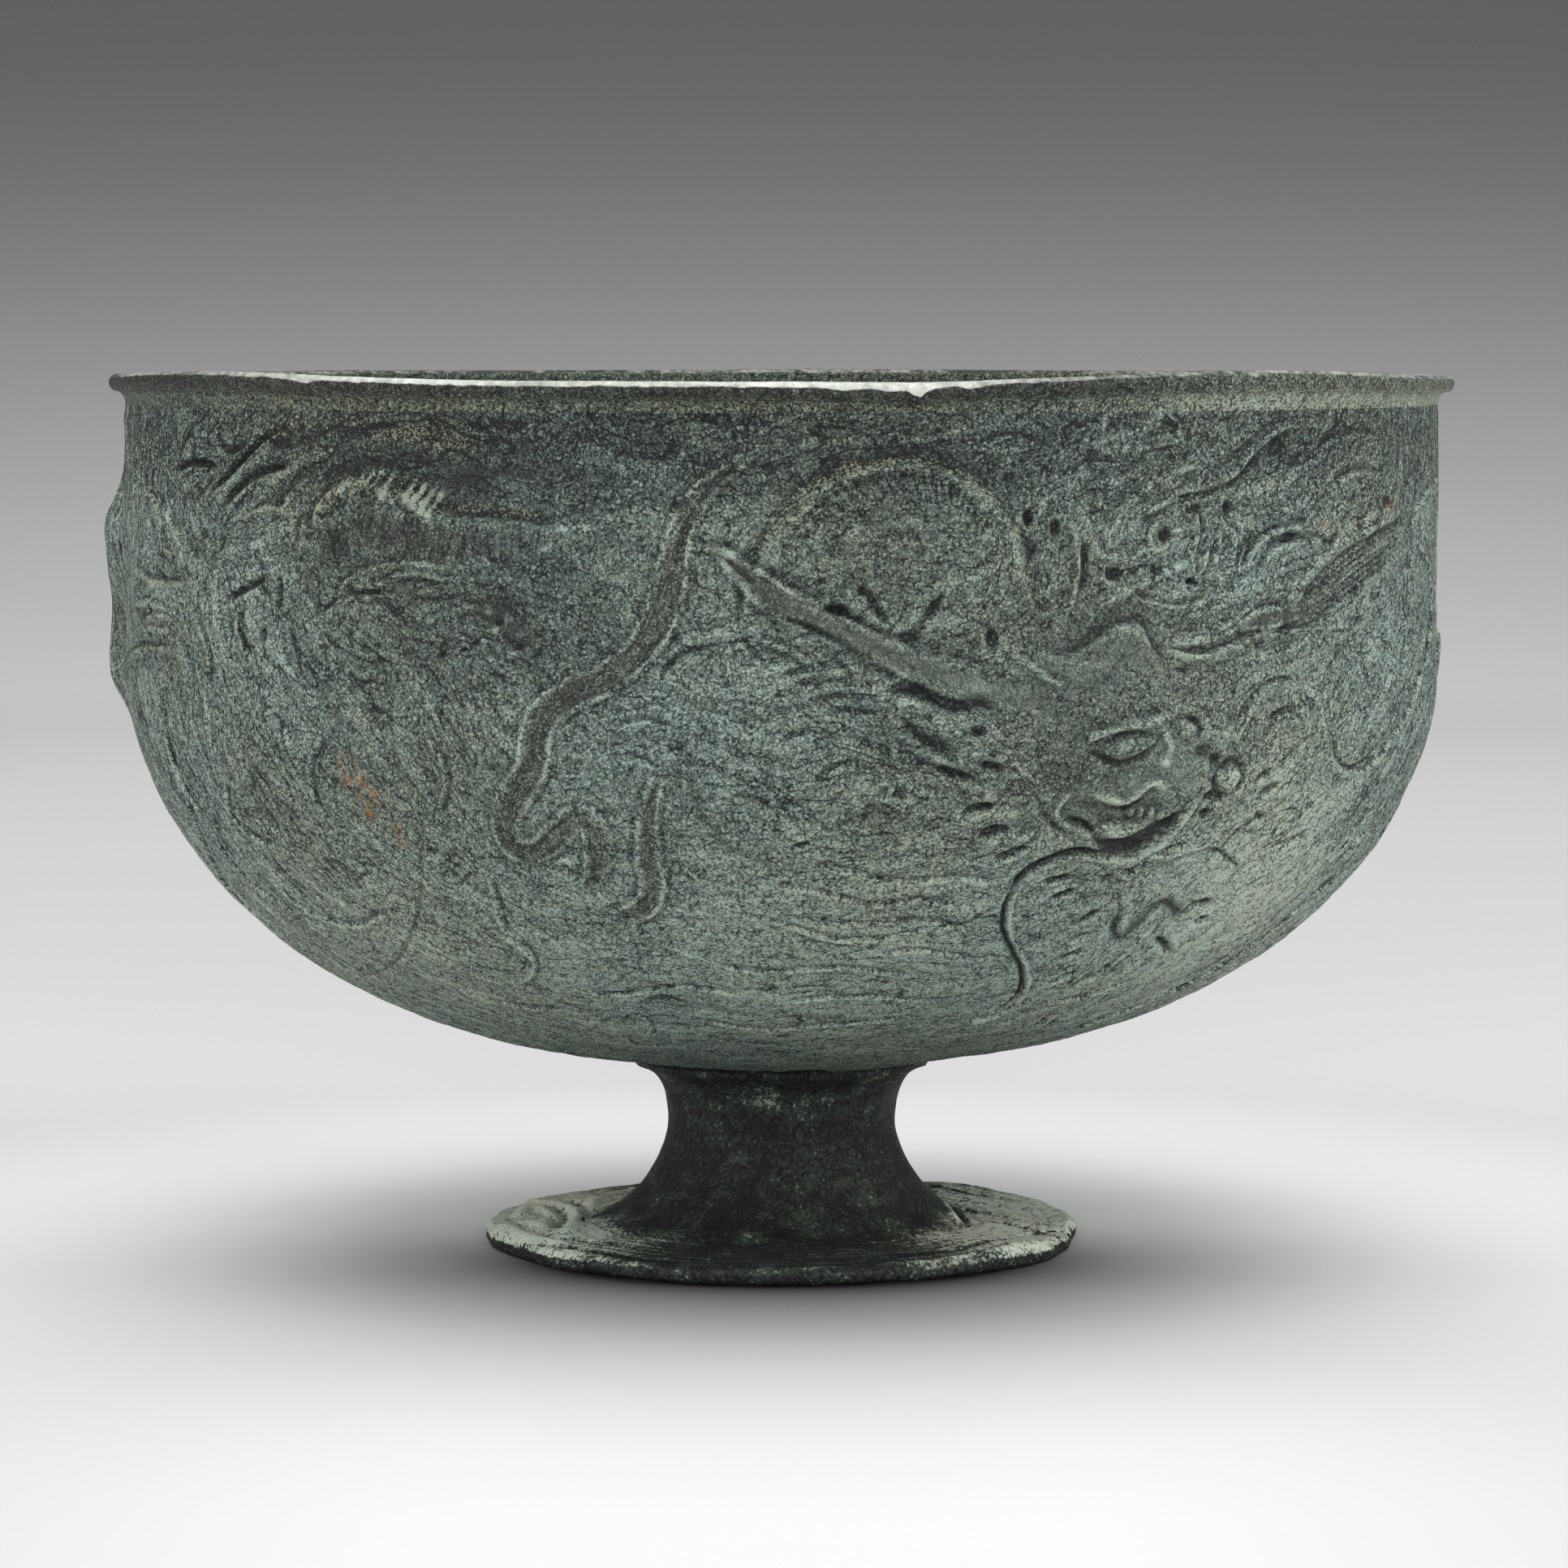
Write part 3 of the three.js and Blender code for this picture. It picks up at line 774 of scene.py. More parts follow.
def scroll(place, size, turns, start, height, width=0.9, flip=1):
    """Raises a spiral cord, as in a curl of cloud or the crest of a wave."""
    angle, run = place
    t = np.linspace(0, 1, max(int(turns * 9), 6))
    reach = size * (1 - 0.85 * t)
    turn = math.radians(start) + flip * t * turns * FULL_TURN
    radius = np.interp(run[0], row_run, row_radius)
    spiral_path = (angle[0] + reach * np.cos(turn) / radius, run[0] + reach * np.sin(turn))
    cord(spiral_path, width, height, fade=0.1)


def draw(brush, strokes, *sizes, **more):
    """Draws strokes through places in the picture, with shared sizes or each with its own."""
    for stroke in strokes:
        width, height, *pixels = (*sizes, *stroke)
        brush(seen(*pixels), width, height, **more)


def spread(field, strokes, *sizes):
    """Tints the wall along strokes, with shared sizes or each with its own width and strength."""
    for stroke in strokes:
        width, amount, *pixels = (*sizes, *stroke)
        tint(field, seen(*pixels), width, amount)


def stud(knobs):
    """Raises knobs or sinks pits, each given by its place, size and height, and maybe turn and groove."""
    for pixel, size, *shape in knobs:
        boss(seen(pixel), size, *shape)


# The dragon's head, looking right and down
ROOT_ACROSS = 14
ROOT_UPRIGHT = 15
brow = ((1331, 909), (1355, 903), (1383, 894), (1404, 889), (1428, 882))
upper_lip = ((1350, 979), (1362, 983), (1380, 986), (1393, 978), (1404, 966), (1417, 960), (1428, 969))
mouth_corner = ((1320, 977), (1305, 990), (1300, 1004), (1308, 1015), (1326, 1021), (1348, 1034))
head_swells = (
    (11, 0.75, (1215, 885), (1300, 860), (1380, 865), (1450, 900)),
    (8, 0.6, (1395, 925), (1450, 945), (1500, 962)),
    (5, 0.4, (1305, 1035), (1380, 1058), (1450, 1035)),
    (3.2, 0.5, (1350, 966), (1369, 970), (1388, 968)),
)
draw(swell, head_swells)
crest = seen((1270, 806), (1318, 804), (1342, 792), (1366, 774), (1383, 768), (1404, 771), (1411, 785),
             (1421, 805), (1442, 823))
ledge(crest, 0.45, inner=3.0, outer=1.6, dip=0.6)
head_ridges = (
    (1.2, 0.35, (1252, 809), (1273, 826), (1293, 840), (1304, 843)), (1.8, 0.45, *brow),
    (1.6, 0.3, (1405, 880), (1428, 905), (1432, 930)),
    (1.1, 0.45, (1511, 970), (1498, 979), (1491, 988), (1488, 997)),
    (1.3, 0.5, *upper_lip), (1.3, 0.4, *mouth_corner),
)
draw(cord, head_ridges)
eyelids = (
    (0.8, 0.35, (1336, 921), (1354, 908), (1380, 900), (1402, 901), (1420, 907)),
    (1.0, 0.45, (1336, 921), (1352, 931), (1372, 938), (1398, 928), (1420, 907)),
)
draw(gouge, eyelids, fade=0.2)
far_eyelid = seen((1452, 884), (1468, 887), (1471, 899), (1463, 908))
gouge(far_eyelid, 0.8, 0.45, fade=0.15)
mouth = ((1336, 1026), (1355, 1038), (1383, 1041), (1407, 1032), (1431, 1015), (1447, 1004), (1460, 987))
head_cuts = (
    (0.8, 0.2, (1362, 947), (1385, 945), (1410, 934)),
    (0.8, 0.35, (1352, 991), (1379, 996), (1396, 988), (1408, 976)),
    ((1.4, 2.2, 2.6, 2.4, 1.5), 0.9, *mouth),
    (1.0, 0.5, (1307, 1008), (1332, 1014), (1351, 1028)),
    (0.9, 0.25, (1287, 981), (1283, 998), (1300, 1017), (1320, 1028)),
)
draw(gouge, head_cuts)
whisker_root = (1507, 955)
head_knobs = (
    ((1331, 826), (2.6, 1.4), 0.35, 10), ((1375, 917), (1.25, 0.75), 0.35, 15, 0.15),
    ((1453, 896), (0.85, 0.75), 0.35, 0, 0.22), ((1476, 922), (1.6, 0.9), -0.45),
    ((1490, 933), (0.9, 0.7), -0.6), (whisker_root, (1.25, 1.2), 0.6, 0, 0.4),
    ((1483, 977), (0.7, 0.6), -0.5), ((1481, 999), (0.7, 0.6), -0.5), ((1373, 1021), (1.9, 1.0), 0.45, -8),
    ((1385, 993), (0.5, 0.4), -0.4),
)
stud(head_knobs)
teeth = ((1391, 999), (1402, 999), (1414, 999), (1426, 1003), (1437, 1006))
stud([(tooth, (0.42, 0.55), 0.35, 0, 0.15) for tooth in teeth])
root_turns = np.linspace(0, FULL_TURN, 13)
root_ring = [(whisker_root[0] + ROOT_ACROSS * math.cos(turn), whisker_root[1] + ROOT_UPRIGHT * math.sin(turn))
             for turn in root_turns]
cord(seen(*root_ring), 0.8, 0.3, fade=0.0)
for x, y in ((1425, 934), (1386, 957)):
    boss(seen((x, y)), (0.45, 0.35), 0.25)
    tint(pale_wear_and_highlight, seen((x, y), (x + 5, y + 2)), 0.9, 0.9)
# Painted highlights on the brow, the whisker's root, the upper lip and the mouth's corner
head_painted_highlights = (
    (0.6, 0.35, *brow), (2.2, 0.7, (1500, 955), (1514, 955)), (0.8, 0.8, *upper_lip),
    (0.7, 0.25, *mouth_corner),
)
spread(pale_wear_and_highlight, head_painted_highlights)
# Painted shade in the head's recesses: round the eyes, by the nostril and in the mouth
head_painted_shade = (
    (0.7, 0.5, (1384, 935), (1402, 926), (1414, 913), (1417, 903)),
    (0.6, 0.6, (1458, 884), (1468, 890), (1470, 902), (1462, 910)),
    (0.8, 0.7, (1490, 940), (1486, 956), (1492, 972)), (1.0, 0.6, (1392, 992), (1410, 984), (1424, 986)),
    (2.2, 0.45, (1384, 1001), (1410, 1005), (1440, 998)),
    ((0.6, 1.3, 1.7, 1.2, 0.6), 0.8, (1362, 1042), (1388, 1039), (1412, 1034), (1434, 1017), (1447, 1004)),
)
spread(stain_and_painted_shade, head_painted_shade)
smooth_cheeks = (
    ((1290, 830), (1340, 820), (1400, 800)), ((1330, 1000), (1400, 960), (1460, 940)),
)
spread(smoothed, smooth_cheeks, 6, 0.4)

# Whiskers, the lower one trailing down the belly and the upper one looping away to the right
lower_whisker = seen((1470, 981), (1459, 1002), (1446, 1017), (1424, 1038), (1401, 1048), (1376, 1054))
cord(lower_whisker, 1.3, 0.45, fade=0.08)
tint(pale_wear_and_highlight, lower_whisker, 0.6, 0.5)
jaw = seen((1246, 1094), (1258, 1077), (1277, 1064), (1304, 1051), (1327, 1046), (1355, 1049), (1387, 1048),
           (1412, 1036))
ledge(jaw, 0.3, inner=2.2, outer=1.0, dip=0.4, edge=0.2)
gouge(jaw, (0.7, 1.0, 1.0, 0.8, 0.9), 0.6, fade=0.1)
# Painted shade along the jaw line
tint(stain_and_painted_shade, jaw, 0.8, 0.7)
whisker_trail = seen(
    (1304, 1056), (1273, 1070), (1252, 1096), (1243, 1119), (1243, 1148), (1256, 1174), (1266, 1200),
    (1262, 1226), (1240, 1246), (1212, 1257), (1180, 1261),
)
cord(whisker_trail, 1.0, 0.3, fade=0.06)
whisker_line = seen((1244, 1096), (1237, 1116), (1235, 1134), (1237, 1150), (1248, 1174), (1259, 1200),
                    (1255, 1224), (1236, 1241), (1208, 1252))
gouge(whisker_line, 0.7, 0.4, fade=0.06)
# Painted shade along the whisker's groove
tint(stain_and_painted_shade, whisker_line, 0.5, 0.5)
upper_whisker = seen(
    (1512, 922), (1530, 890), (1551, 861), (1580, 844), (1605, 847), (1623, 869), (1630, 894), (1634, 920),
    (1641, 940), (1659, 954), (1687, 944), (1706, 920), (1726, 890), (1744, 847), (1757, 794), (1762, 740),
    (1758, 692), (1744, 661),
)
cord(upper_whisker, 1.1, 0.32, fade=0.03)

# Chin and beard
chin_curl = seen((1373, 1064), (1378, 1075), (1386, 1080), (1393, 1076), (1404, 1060), (1417, 1053),
                 (1438, 1053), (1459, 1047), (1479, 1044), (1503, 1030))
cord(chin_curl, 0.9, 0.35)
boss(seen((1362, 1079)), (0.5, 0.5), -0.4)
beard_edge = seen(
    (1493, 1111), (1479, 1112), (1466, 1119), (1455, 1129), (1445, 1117), (1431, 1115), (1411, 1133),
    (1393, 1150), (1380, 1158), (1373, 1143), (1383, 1122),
)
ledge(beard_edge, 0.12, inner=3.2, outer=1.6, dip=0.8, edge=0.6, fade=0.06)
gouge(beard_edge, 1.4, 0.3, fade=0.06)
# Painted shade along the beard's edge and a painted shadow under its tufts
tint(stain_and_painted_shade, beard_edge, 1.1, 0.75)
beard_shadow = seen((1390, 1146), (1404, 1132), (1420, 1118), (1436, 1113), (1450, 1126))
tint(stain_and_painted_shade, beard_shadow, 1.9, 0.85)
beard_spine = seen((1335, 1213), (1365, 1191), (1395, 1167), (1420, 1145))
cord(beard_spine, 1.0, 0.3)
chin_cuts = (
    (0.6, 0.25, (1508, 912), (1522, 884), (1541, 855), (1562, 838), (1590, 834), (1617, 845)),
    (0.7, 0.3, (1640, 880), (1642, 915), (1652, 938), (1664, 946), (1680, 937), (1700, 912), (1716, 888)),
    (0.8, 0.45, (1428, 1045), (1445, 1040), (1464, 1034)),
    (0.8, 0.4, (1380, 1066), (1388, 1070), (1396, 1062)),
    (0.8, 0.4, (1483, 1046), (1503, 1050), (1521, 1064), (1529, 1073)),
    (0.5, 0.25, (1374, 1092), (1380, 1112), (1378, 1131)),
)
draw(gouge, chin_cuts)
beard_cuts = (
    ((1278, 1086), (1300, 1082), (1323, 1078)), ((1292, 1106), (1308, 1102), (1326, 1095)),
    ((1328, 1136), (1340, 1130), (1353, 1121)), ((1315, 1160), (1330, 1156), (1348, 1149)),
    ((1302, 1184), (1318, 1179), (1338, 1169)), ((1291, 1214), (1308, 1206), (1330, 1195)),
    ((1318, 1218), (1332, 1210), (1349, 1197)), ((1470, 1118), (1481, 1113), (1495, 1111)),
    ((1470, 1135), (1480, 1133), (1490, 1132)), ((1424, 1155), (1434, 1163), (1441, 1174)),
    ((1272, 1264), (1284, 1256), (1297, 1247)), ((1280, 1268), (1292, 1259), (1304, 1250)),
)
draw(gouge, beard_cuts, 1.3, 0.65)
# Painted shade in the beard's cuts
spread(stain_and_painted_shade, beard_cuts, 0.6, 0.4)

# Ear and the tufts of hair behind the jaw
ear_swell = seen((1105, 868), (1150, 895), (1195, 915))
swell(ear_swell, 4.5, 0.6)
ear_lip = seen((1138, 926), (1160, 938), (1182, 939), (1203, 925))
cord(ear_lip, 1.2, 0.4)
ear_knobs = (((1118, 868), (1.6, 0.8), 0.35, -20), ((1164, 896), (1.7, 1.0), 0.4, -15))
stud(ear_knobs)
ear_shadow = seen((1090, 856), (1097, 850), (1121, 848), (1149, 860), (1176, 868), (1204, 866), (1225, 874),
                  (1240, 882))
gouge(ear_shadow, 1.9, 0.55)
ear_hollow = seen((1106, 880), (1127, 900), (1150, 916), (1177, 924))
gouge(ear_hollow, 1.5, 0.55)
hair_cuts = (
    ((1149, 946), (1164, 949), (1178, 954), (1221, 967)), ((1200, 939), (1222, 943), (1240, 949)),
    ((1190, 896), (1201, 900), (1214, 905)), ((1180, 1006), (1207, 993), (1230, 993)),
    ((1203, 1035), (1221, 1022), (1247, 1020)), ((1223, 1059), (1242, 1051), (1271, 1041)),
    ((1098, 985), (1108, 978), (1118, 988)),
)
draw(gouge, hair_cuts, 1.1, 0.6)
locks = (
    ((1180, 1016), (1210, 1004), (1246, 1003)), ((1210, 1045), (1235, 1034), (1262, 1031)),
    ((1190, 965), (1215, 977), (1240, 986)),
)
draw(swell, locks, (1.2, 2.4, 1.2), 0.35)

# Horn: flat and polished, forked at its tip, swept back over the neck
horn = seen((881, 675), (922, 712), (965, 744), (1010, 765), (1060, 790), (1110, 811), (1160, 831),
            (1215, 850), (1275, 858))
horn_width = (0.7, 2.0, 2.6, 2.3, 2.3, 2.6, 3.0, 3.4, 3.8)
horn_rub = (1.0, 1.0, 1.0, 0.9, 0.7, 0.55, 0.45, 0.35, 0.2, 0.0)
tint(smoothed, horn, (1, 2, 3, 3, 3, 3, 3, 4, 4), 0.5)
band(horn, horn_width, 0.35, fade=(0.02, 0.3), rub=horn_rub, dust=0.15)
horn_fork = seen((893, 688), (912, 703), (933, 722))
gouge(horn_fork, 0.8, 0.35, fade=0.15)
horn_shadow = seen((946, 756), (983, 768), (1016, 781), (1058, 806), (1100, 830), (1150, 852))
gouge(horn_shadow, 0.9, 0.35)
horn_top = seen((960, 722), (1000, 744), (1040, 757), (1090, 782), (1150, 806), (1210, 822))
gouge(horn_top, 0.7, 0.3)
horn_wisps = (
    ((936, 752), (975, 766), (1013, 782), (1069, 822)),
    ((922, 779), (955, 788), (985, 801), (1041, 836)), ((930, 800), (965, 806), (1000, 826)),
    ((1000, 800), (1035, 818), (1060, 846)), ((905, 770), (925, 800), (950, 822)),
)
draw(gouge, horn_wisps, 0.8, 0.24)
# Painted highlights along the horn's upper edge and its fork
horn_painted_highlights = (
    ((888, 677), (921, 693), (946, 710), (975, 731), (1004, 751)),
    ((892, 694), (908, 711), (921, 722)),
)
spread(pale_wear_and_highlight, horn_painted_highlights, 0.6, 0.9)

# Arched neck with a comb along its back
neck_back = seen(
    (934, 702), (942, 674), (957, 651), (980, 623), (1003, 600), (1039, 582), (1077, 572), (1115, 567),
    (1153, 572), (1187, 585), (1213, 607), (1234, 633), (1252, 659), (1263, 691), (1267, 720), (1274, 755),
)
ledge(neck_back, 0.55, inner=5.0, outer=2.4, dip=0.3, edge=0.6, fade=0.03, dust=0.75)
neck_dust = seen((937, 681), (958, 652), (979, 623), (1008, 598), (1058, 577))
tint(dusty, neck_dust, 2.4, 0.9)
# A painted highlight along the top of the neck's arch
neck_painted_highlight = seen((940, 676), (958, 650), (981, 622), (1010, 600), (1060, 581))
tint(pale_wear_and_highlight, neck_painted_highlight, 1.0, 0.8)
neck_mass = seen((985, 690), (1010, 640), (1080, 610), (1150, 612), (1205, 655), (1222, 720), (1222, 790))
swell(neck_mass, 9, 0.3)


def comb(back, count, length, depth, lean, first=0.03, last=0.97):
    """Cuts the short slanted strokes of a comb to the right of a path along a back."""
    angle, run, share = smooth(back)
    for place in np.linspace(first, last, count):
        a = np.interp(place, share, angle)
        r = np.interp(place, share, run)
        a_next = np.interp(place + 0.02, share, angle)
        r_next = np.interp(place + 0.02, share, run)
        radius = np.interp(r, row_run, row_radius)
        heading = math.atan2(r_next - r, (a_next - a) * radius) - math.radians(lean)
        reach = np.array((0.2, 0.6, 1.0)) * length
        gouge((a + reach * math.cos(heading) / radius, r + reach * math.sin(heading)), 0.6, depth, fade=0.35)


comb(neck_back, count=30, length=3.4, depth=0.22, lean=65, last=0.7)
neck_knobs = (
    ((1033, 752), (1.5, 0.6), -0.55), ((1221, 787), (0.6, 1.1), -0.55), ((1120, 785), (1.2, 0.6), -0.55),
    ((1062, 728), (0.5, 0.5), -0.55), ((1052, 742), (1.1, 1.3), 0.35, 30),
    ((1132, 760), (1.3, 1.1), 0.35, 30), ((1185, 770), (2.2, 1.5), 0.25),
)
stud(neck_knobs)
neck_cuts = (
    (0.8, 0.22, (960, 686), (975, 659), (1003, 626), (1039, 603), (1090, 586), (1150, 589), (1192, 606)),
    (1.1, 0.45, (1066, 718), (1079, 748), (1099, 773)), (1.2, 0.45, (1166, 728), (1143, 756), (1123, 783)),
)
draw(gouge, neck_cuts)

# Flame ribbons that stream down the front
long_ribbon = seen(
    (926, 560), (886, 588), (857, 618), (841, 648), (831, 684), (822, 728), (808, 772), (778, 812),
    (742, 839), (702, 857), (668, 884), (660, 915), (656, 945), (636, 978), (624, 1008), (630, 1038),
    (650, 1050), (674, 1040), (696, 1018), (716, 1006), (732, 1020), (738, 1046), (734, 1074), (722, 1100),
)
ribbon_width = (0.5, 1.3, 1.7, 1.9, 2.2, 2.8, 2.6, 2.3, 2.4, 2.5, 2.6, 2.6, 2.7, 2.6, 2.5, 2.3, 2.1, 2.1, 2.1,
                2.2, 2.2, 2.2, 1.9, 1.1)
band(long_ribbon, ribbon_width, 0.14, fade=(0.02, 0.02), rub=1.0, dust=0.55, edge=0.25)
short_ribbon = seen((812, 955), (803, 985), (798, 1020), (799, 1062), (804, 1092), (792, 1120), (760, 1130))
band(short_ribbon, (0.8, 1.3, 1.6, 1.9, 2.0, 2.0, 1.2), 0.12, rub=0.9, dust=0.15)
faint_ribbon = seen((859, 900), (852, 946), (863, 996), (883, 1029), (912, 1050), (954, 1062), (985, 1052))
band(faint_ribbon, (0.8, 1.5, 1.6, 1.6, 1.4, 0.7), 0.04, rub=0.6, dust=0.0, edge=0.6, lip=0.02)
boss(seen((988, 1042)), (1.0, 0.35), -0.4, turn=12)
ribbon_curls = (
    (0.8, 0.3, (819, 1094), (811, 1121), (787, 1136), (780, 1142), (787, 1152), (809, 1154)),
    (0.7, 0.3, (799, 1143), (817, 1161), (842, 1174), (873, 1180)),
    (0.6, 0.25, (676, 1067), (697, 1058), (709, 1071)), (0.7, 0.3, (896, 810), (898, 830), (900, 850)),
)
draw(cord, ribbon_curls)
# Painted highlights on the curls of the ribbons
ribbon_painted_highlights = (
    ((780, 1141), (786, 1152), (809, 1154), (817, 1162), (842, 1174)),
    ((676, 1067), (697, 1060), (709, 1071)), ((643, 1058), (668, 1050), (693, 1033)),
    ((736, 1098), (740, 1106)),
)
spread(pale_wear_and_highlight, ribbon_painted_highlights, 0.6, 1.0)
ribbon_cut = seen((896, 787), (867, 797), (842, 805), (821, 822), (812, 834))
gouge(ribbon_cut, 1.1, 0.3)
drift_cuts = (
    ((952, 838), (990, 824), (1030, 818)), ((962, 850), (1010, 838), (1062, 842)),
    ((985, 862), (1030, 858), (1075, 862)), ((1005, 880), (1050, 874), (1092, 880)),
    ((940, 880), (975, 872), (1010, 872)), ((900, 700), (912, 740), (905, 780)),
)
draw(gouge, drift_cuts, 1.0, 0.25)

# The dragon's back rising at the left, with its comb and a rubbed flank
COMB_TEETH = 16
left_back = seen((384, 652), (392, 628), (410, 605), (444, 593), (482, 598), (512, 610), (548, 632),
                 (600, 638), (650, 644), (690, 652))
ledge(left_back, 0.5, inner=4.5, outer=2.2, dip=0.35, edge=0.45, fade=0.06, dust=0.35)
comb_line = ((396, 626), (410, 608), (431, 597), (464, 593), (505, 600), (535, 618))
comb_x, comb_y = zip(*comb_line)
for place in np.arange(COMB_TEETH) / (COMB_TEETH - 1) * (len(comb_line) - 1):
    x = np.interp(place, range(len(comb_line)), comb_x)
    y = np.interp(place, range(len(comb_line)), comb_y)
    tooth = seen((x + 7, y - 9), (x + 1, y + 4), (x - 5, y + 18))
    cord(tooth, 0.8, 0.35)
    tint(dusty, tooth, 0.8, 1.0)
    tint(pale_wear_and_highlight, tooth, 0.8, 1.6)
left_flank = seen((391, 700), (404, 678), (430, 662), (466, 655), (508, 662), (552, 670), (606, 670),
                  (660, 664), (710, 658), (752, 656))
flank_width = (1.0, 2.2, 3.0, 3.8, 3.8, 3.4, 2.8, 1.9, 0.9, 0.3)
flank_rub = (1.0, 1.0, 1.0, 1.0, 0.85, 0.6, 0.35, 0.2, 0.0)
band(left_flank, flank_width, 0.1, fade=(0.04, 0.02), rub=flank_rub, dust=0.0, edge=0.8, lip=0.0, lay=80)
flank_tail = seen((410, 668), (396, 690), (382, 712), (368, 744))
band(flank_tail, (2.6, 2.2, 1.8, 1.0), 0.05, fade=(0.1, 0.3), rub=0.5, dust=0.0, edge=1.0, lip=0.0, lay=80)
flank_folds = (
    ((416, 728), (442, 707), (493, 694), (540, 700)),
    ((446, 730), (500, 708), (556, 716), (610, 712)), ((400, 760), (424, 740), (470, 734)),
    ((520, 770), (560, 752), (600, 748)),
)
draw(cord, flank_folds, 1.0, 0.22, cut=0.12)
# Painted highlights at the flank's right end
flank_painted_highlights = (
    ((664, 678), (700, 670), (747, 661)), ((668, 655), (712, 650), (752, 654)),
)
spread(pale_wear_and_highlight, flank_painted_highlights, 0.6, 0.7)
flank_cuts = (
    ((470, 722), (510, 714), (560, 722)), ((500, 735), (540, 738), (590, 728)),
    ((420, 740), (460, 728), (500, 732)),
)
draw(gouge, flank_cuts, 0.9, 0.22)
cloud_arcs = (
    ((409, 552), (438, 536), (475, 529), (520, 536), (557, 549)),
    ((386, 602), (416, 581), (446, 570), (483, 573), (520, 585)),
)
draw(gouge, cloud_arcs, 1.3, 0.25, fade=0.15)
crust = ((604, 752, 0.7), (628, 764, 0.8), (640, 782, 0.6), (612, 776, 0.5), (632, 806, 0.7), (598, 790, 0.5))
for x, y, size in crust:
    boss(seen((x, y)), (size, size * 0.8), 0.3)
    tint(pale_wear_and_highlight, seen((x, y), (x + 4, y)), size * 1.2, 0.8)
crust_pits = ((618, 766), (588, 792), (640, 796), (572, 800), (545, 806))
stud([(pit, (0.5, 0.3), -0.35) for pit in crust_pits])
left_stains = (
    (2.6, 0.75, (606, 752), (628, 764), (642, 790)), (3, 1.0, (560, 594), (580, 584), (592, 592)),
    (1.5, 0.8, (596, 582), (625, 580), (652, 582)),
)
spread(stain_and_painted_shade, left_stains)
rust_marks = (
    (2.8, 1.0, (432, 952), (446, 975), (460, 996)), (1.4, 1.0, (486, 1016), (494, 1034)),
    (1.5, 1.0, (1712, 626), (1716, 630)), (1.5, 1.0, (1634, 647), (1638, 651)),
)
spread(rusty, rust_marks)
dust_marks = (
    (2.6, 0.55, (420, 612), (464, 603), (510, 612)), (4.5, 0.7, (470, 528), (520, 538), (570, 552)),
    (2.4, 0.7, (530, 626), (580, 626), (656, 634)), (2.4, 0.6, (470, 1030), (520, 1046), (560, 1070)),
    (2.0, 0.8, (360, 640), (379, 656)), (5, 0.5, (260, 520), (400, 520), (560, 524), (700, 545)),
    (4, 0.3, (760, 512), (1000, 512), (1300, 516), (1560, 520)),
    (6, 0.4, (330, 640), (420, 560), (520, 530), (640, 600)),
)
spread(dusty, dust_marks)

# Clouds and the dragon's haunch at the far left, which stands proud of the outline
haunch = placed((-84, 67.5), (-91, 61), (-88, 54.5))
swell(haunch, (8, 12, 8), 1.9)
haunch_front = placed((-70, 62), (-62, 60), (-54, 60))
swell(haunch_front, 9, 0.7)
boss(placed((-93, 66)), (3.5, 2.6), 0.5)
haunch_ridge = seen((201, 618), (208, 634), (216, 650), (235, 676), (257, 690), (279, 676), (327, 669))
ledge(haunch_ridge, 0.25, inner=3.0, outer=1.4, dip=0.25, dust=0.5)
tint(pale_wear_and_highlight, haunch_ridge, 1.3, 0.6)
left_knobs = (
    ((236, 592), (3.0, 1.4), 0.4), ((155, 768), (1.8, 1.3), -0.45), ((325, 782), (0.6, 0.9), -0.45),
    ((194, 750), (0.8, 0.5), -0.45),
)
stud(left_knobs)
left_cuts = (
    ((214, 580), (238, 569), (268, 576)), ((257, 606), (286, 580), (323, 541), (349, 528)),
    ((268, 628), (298, 595), (331, 578), (357, 576)), ((264, 517), (268, 543), (283, 554), (309, 543)),
    ((284, 737), (306, 724), (331, 711)), ((344, 708), (346, 730), (343, 752)),
)
draw(gouge, left_cuts, 1.1, 0.5, fade=0.2)
# Painted shade in these cuts
spread(stain_and_painted_shade, left_cuts, 0.6, 0.4)
left_ridges = (
    ((260, 612), (292, 580), (328, 548), (352, 534)), ((274, 634), (306, 602), (338, 584), (362, 582)),
    ((222, 588), (240, 576), (264, 580)), ((186, 600), (200, 634)), ((300, 640), (330, 626), (366, 632)),
    ((172, 700), (196, 716), (232, 722)), ((150, 820), (176, 800), (214, 800)),
    ((250, 760), (262, 800), (258, 840)), ((300, 740), (296, 780), (310, 812)),
)
draw(cord, left_ridges, 1.1, 0.3, cut=0.2)
spread(dusty, left_ridges, 0.9, 0.8)
HATCH_PLACES = (163, 170, 177, 184, 191)
for x in HATCH_PLACES:
    hatch = seen((x + 8, 530), (x + 2, 580), (x, 628))
    gouge(hatch, 0.7, 0.3, fade=0.2)
    tint(dusty, seen((x + 11, 530), (x + 6, 580), (x + 4, 626)), 0.7, 0.7)
cloud_edge = seen((264, 620), (296, 586), (330, 559))
cord(cloud_edge, 1.6, 0.4, dust=0.4)
cloud_tails = (
    (1.8, 0.35, (330, 600), (370, 570), (405, 560)), (1.4, 0.3, (340, 640), (366, 604), (384, 590)),
)
draw(cord, cloud_tails, dust=0.6)
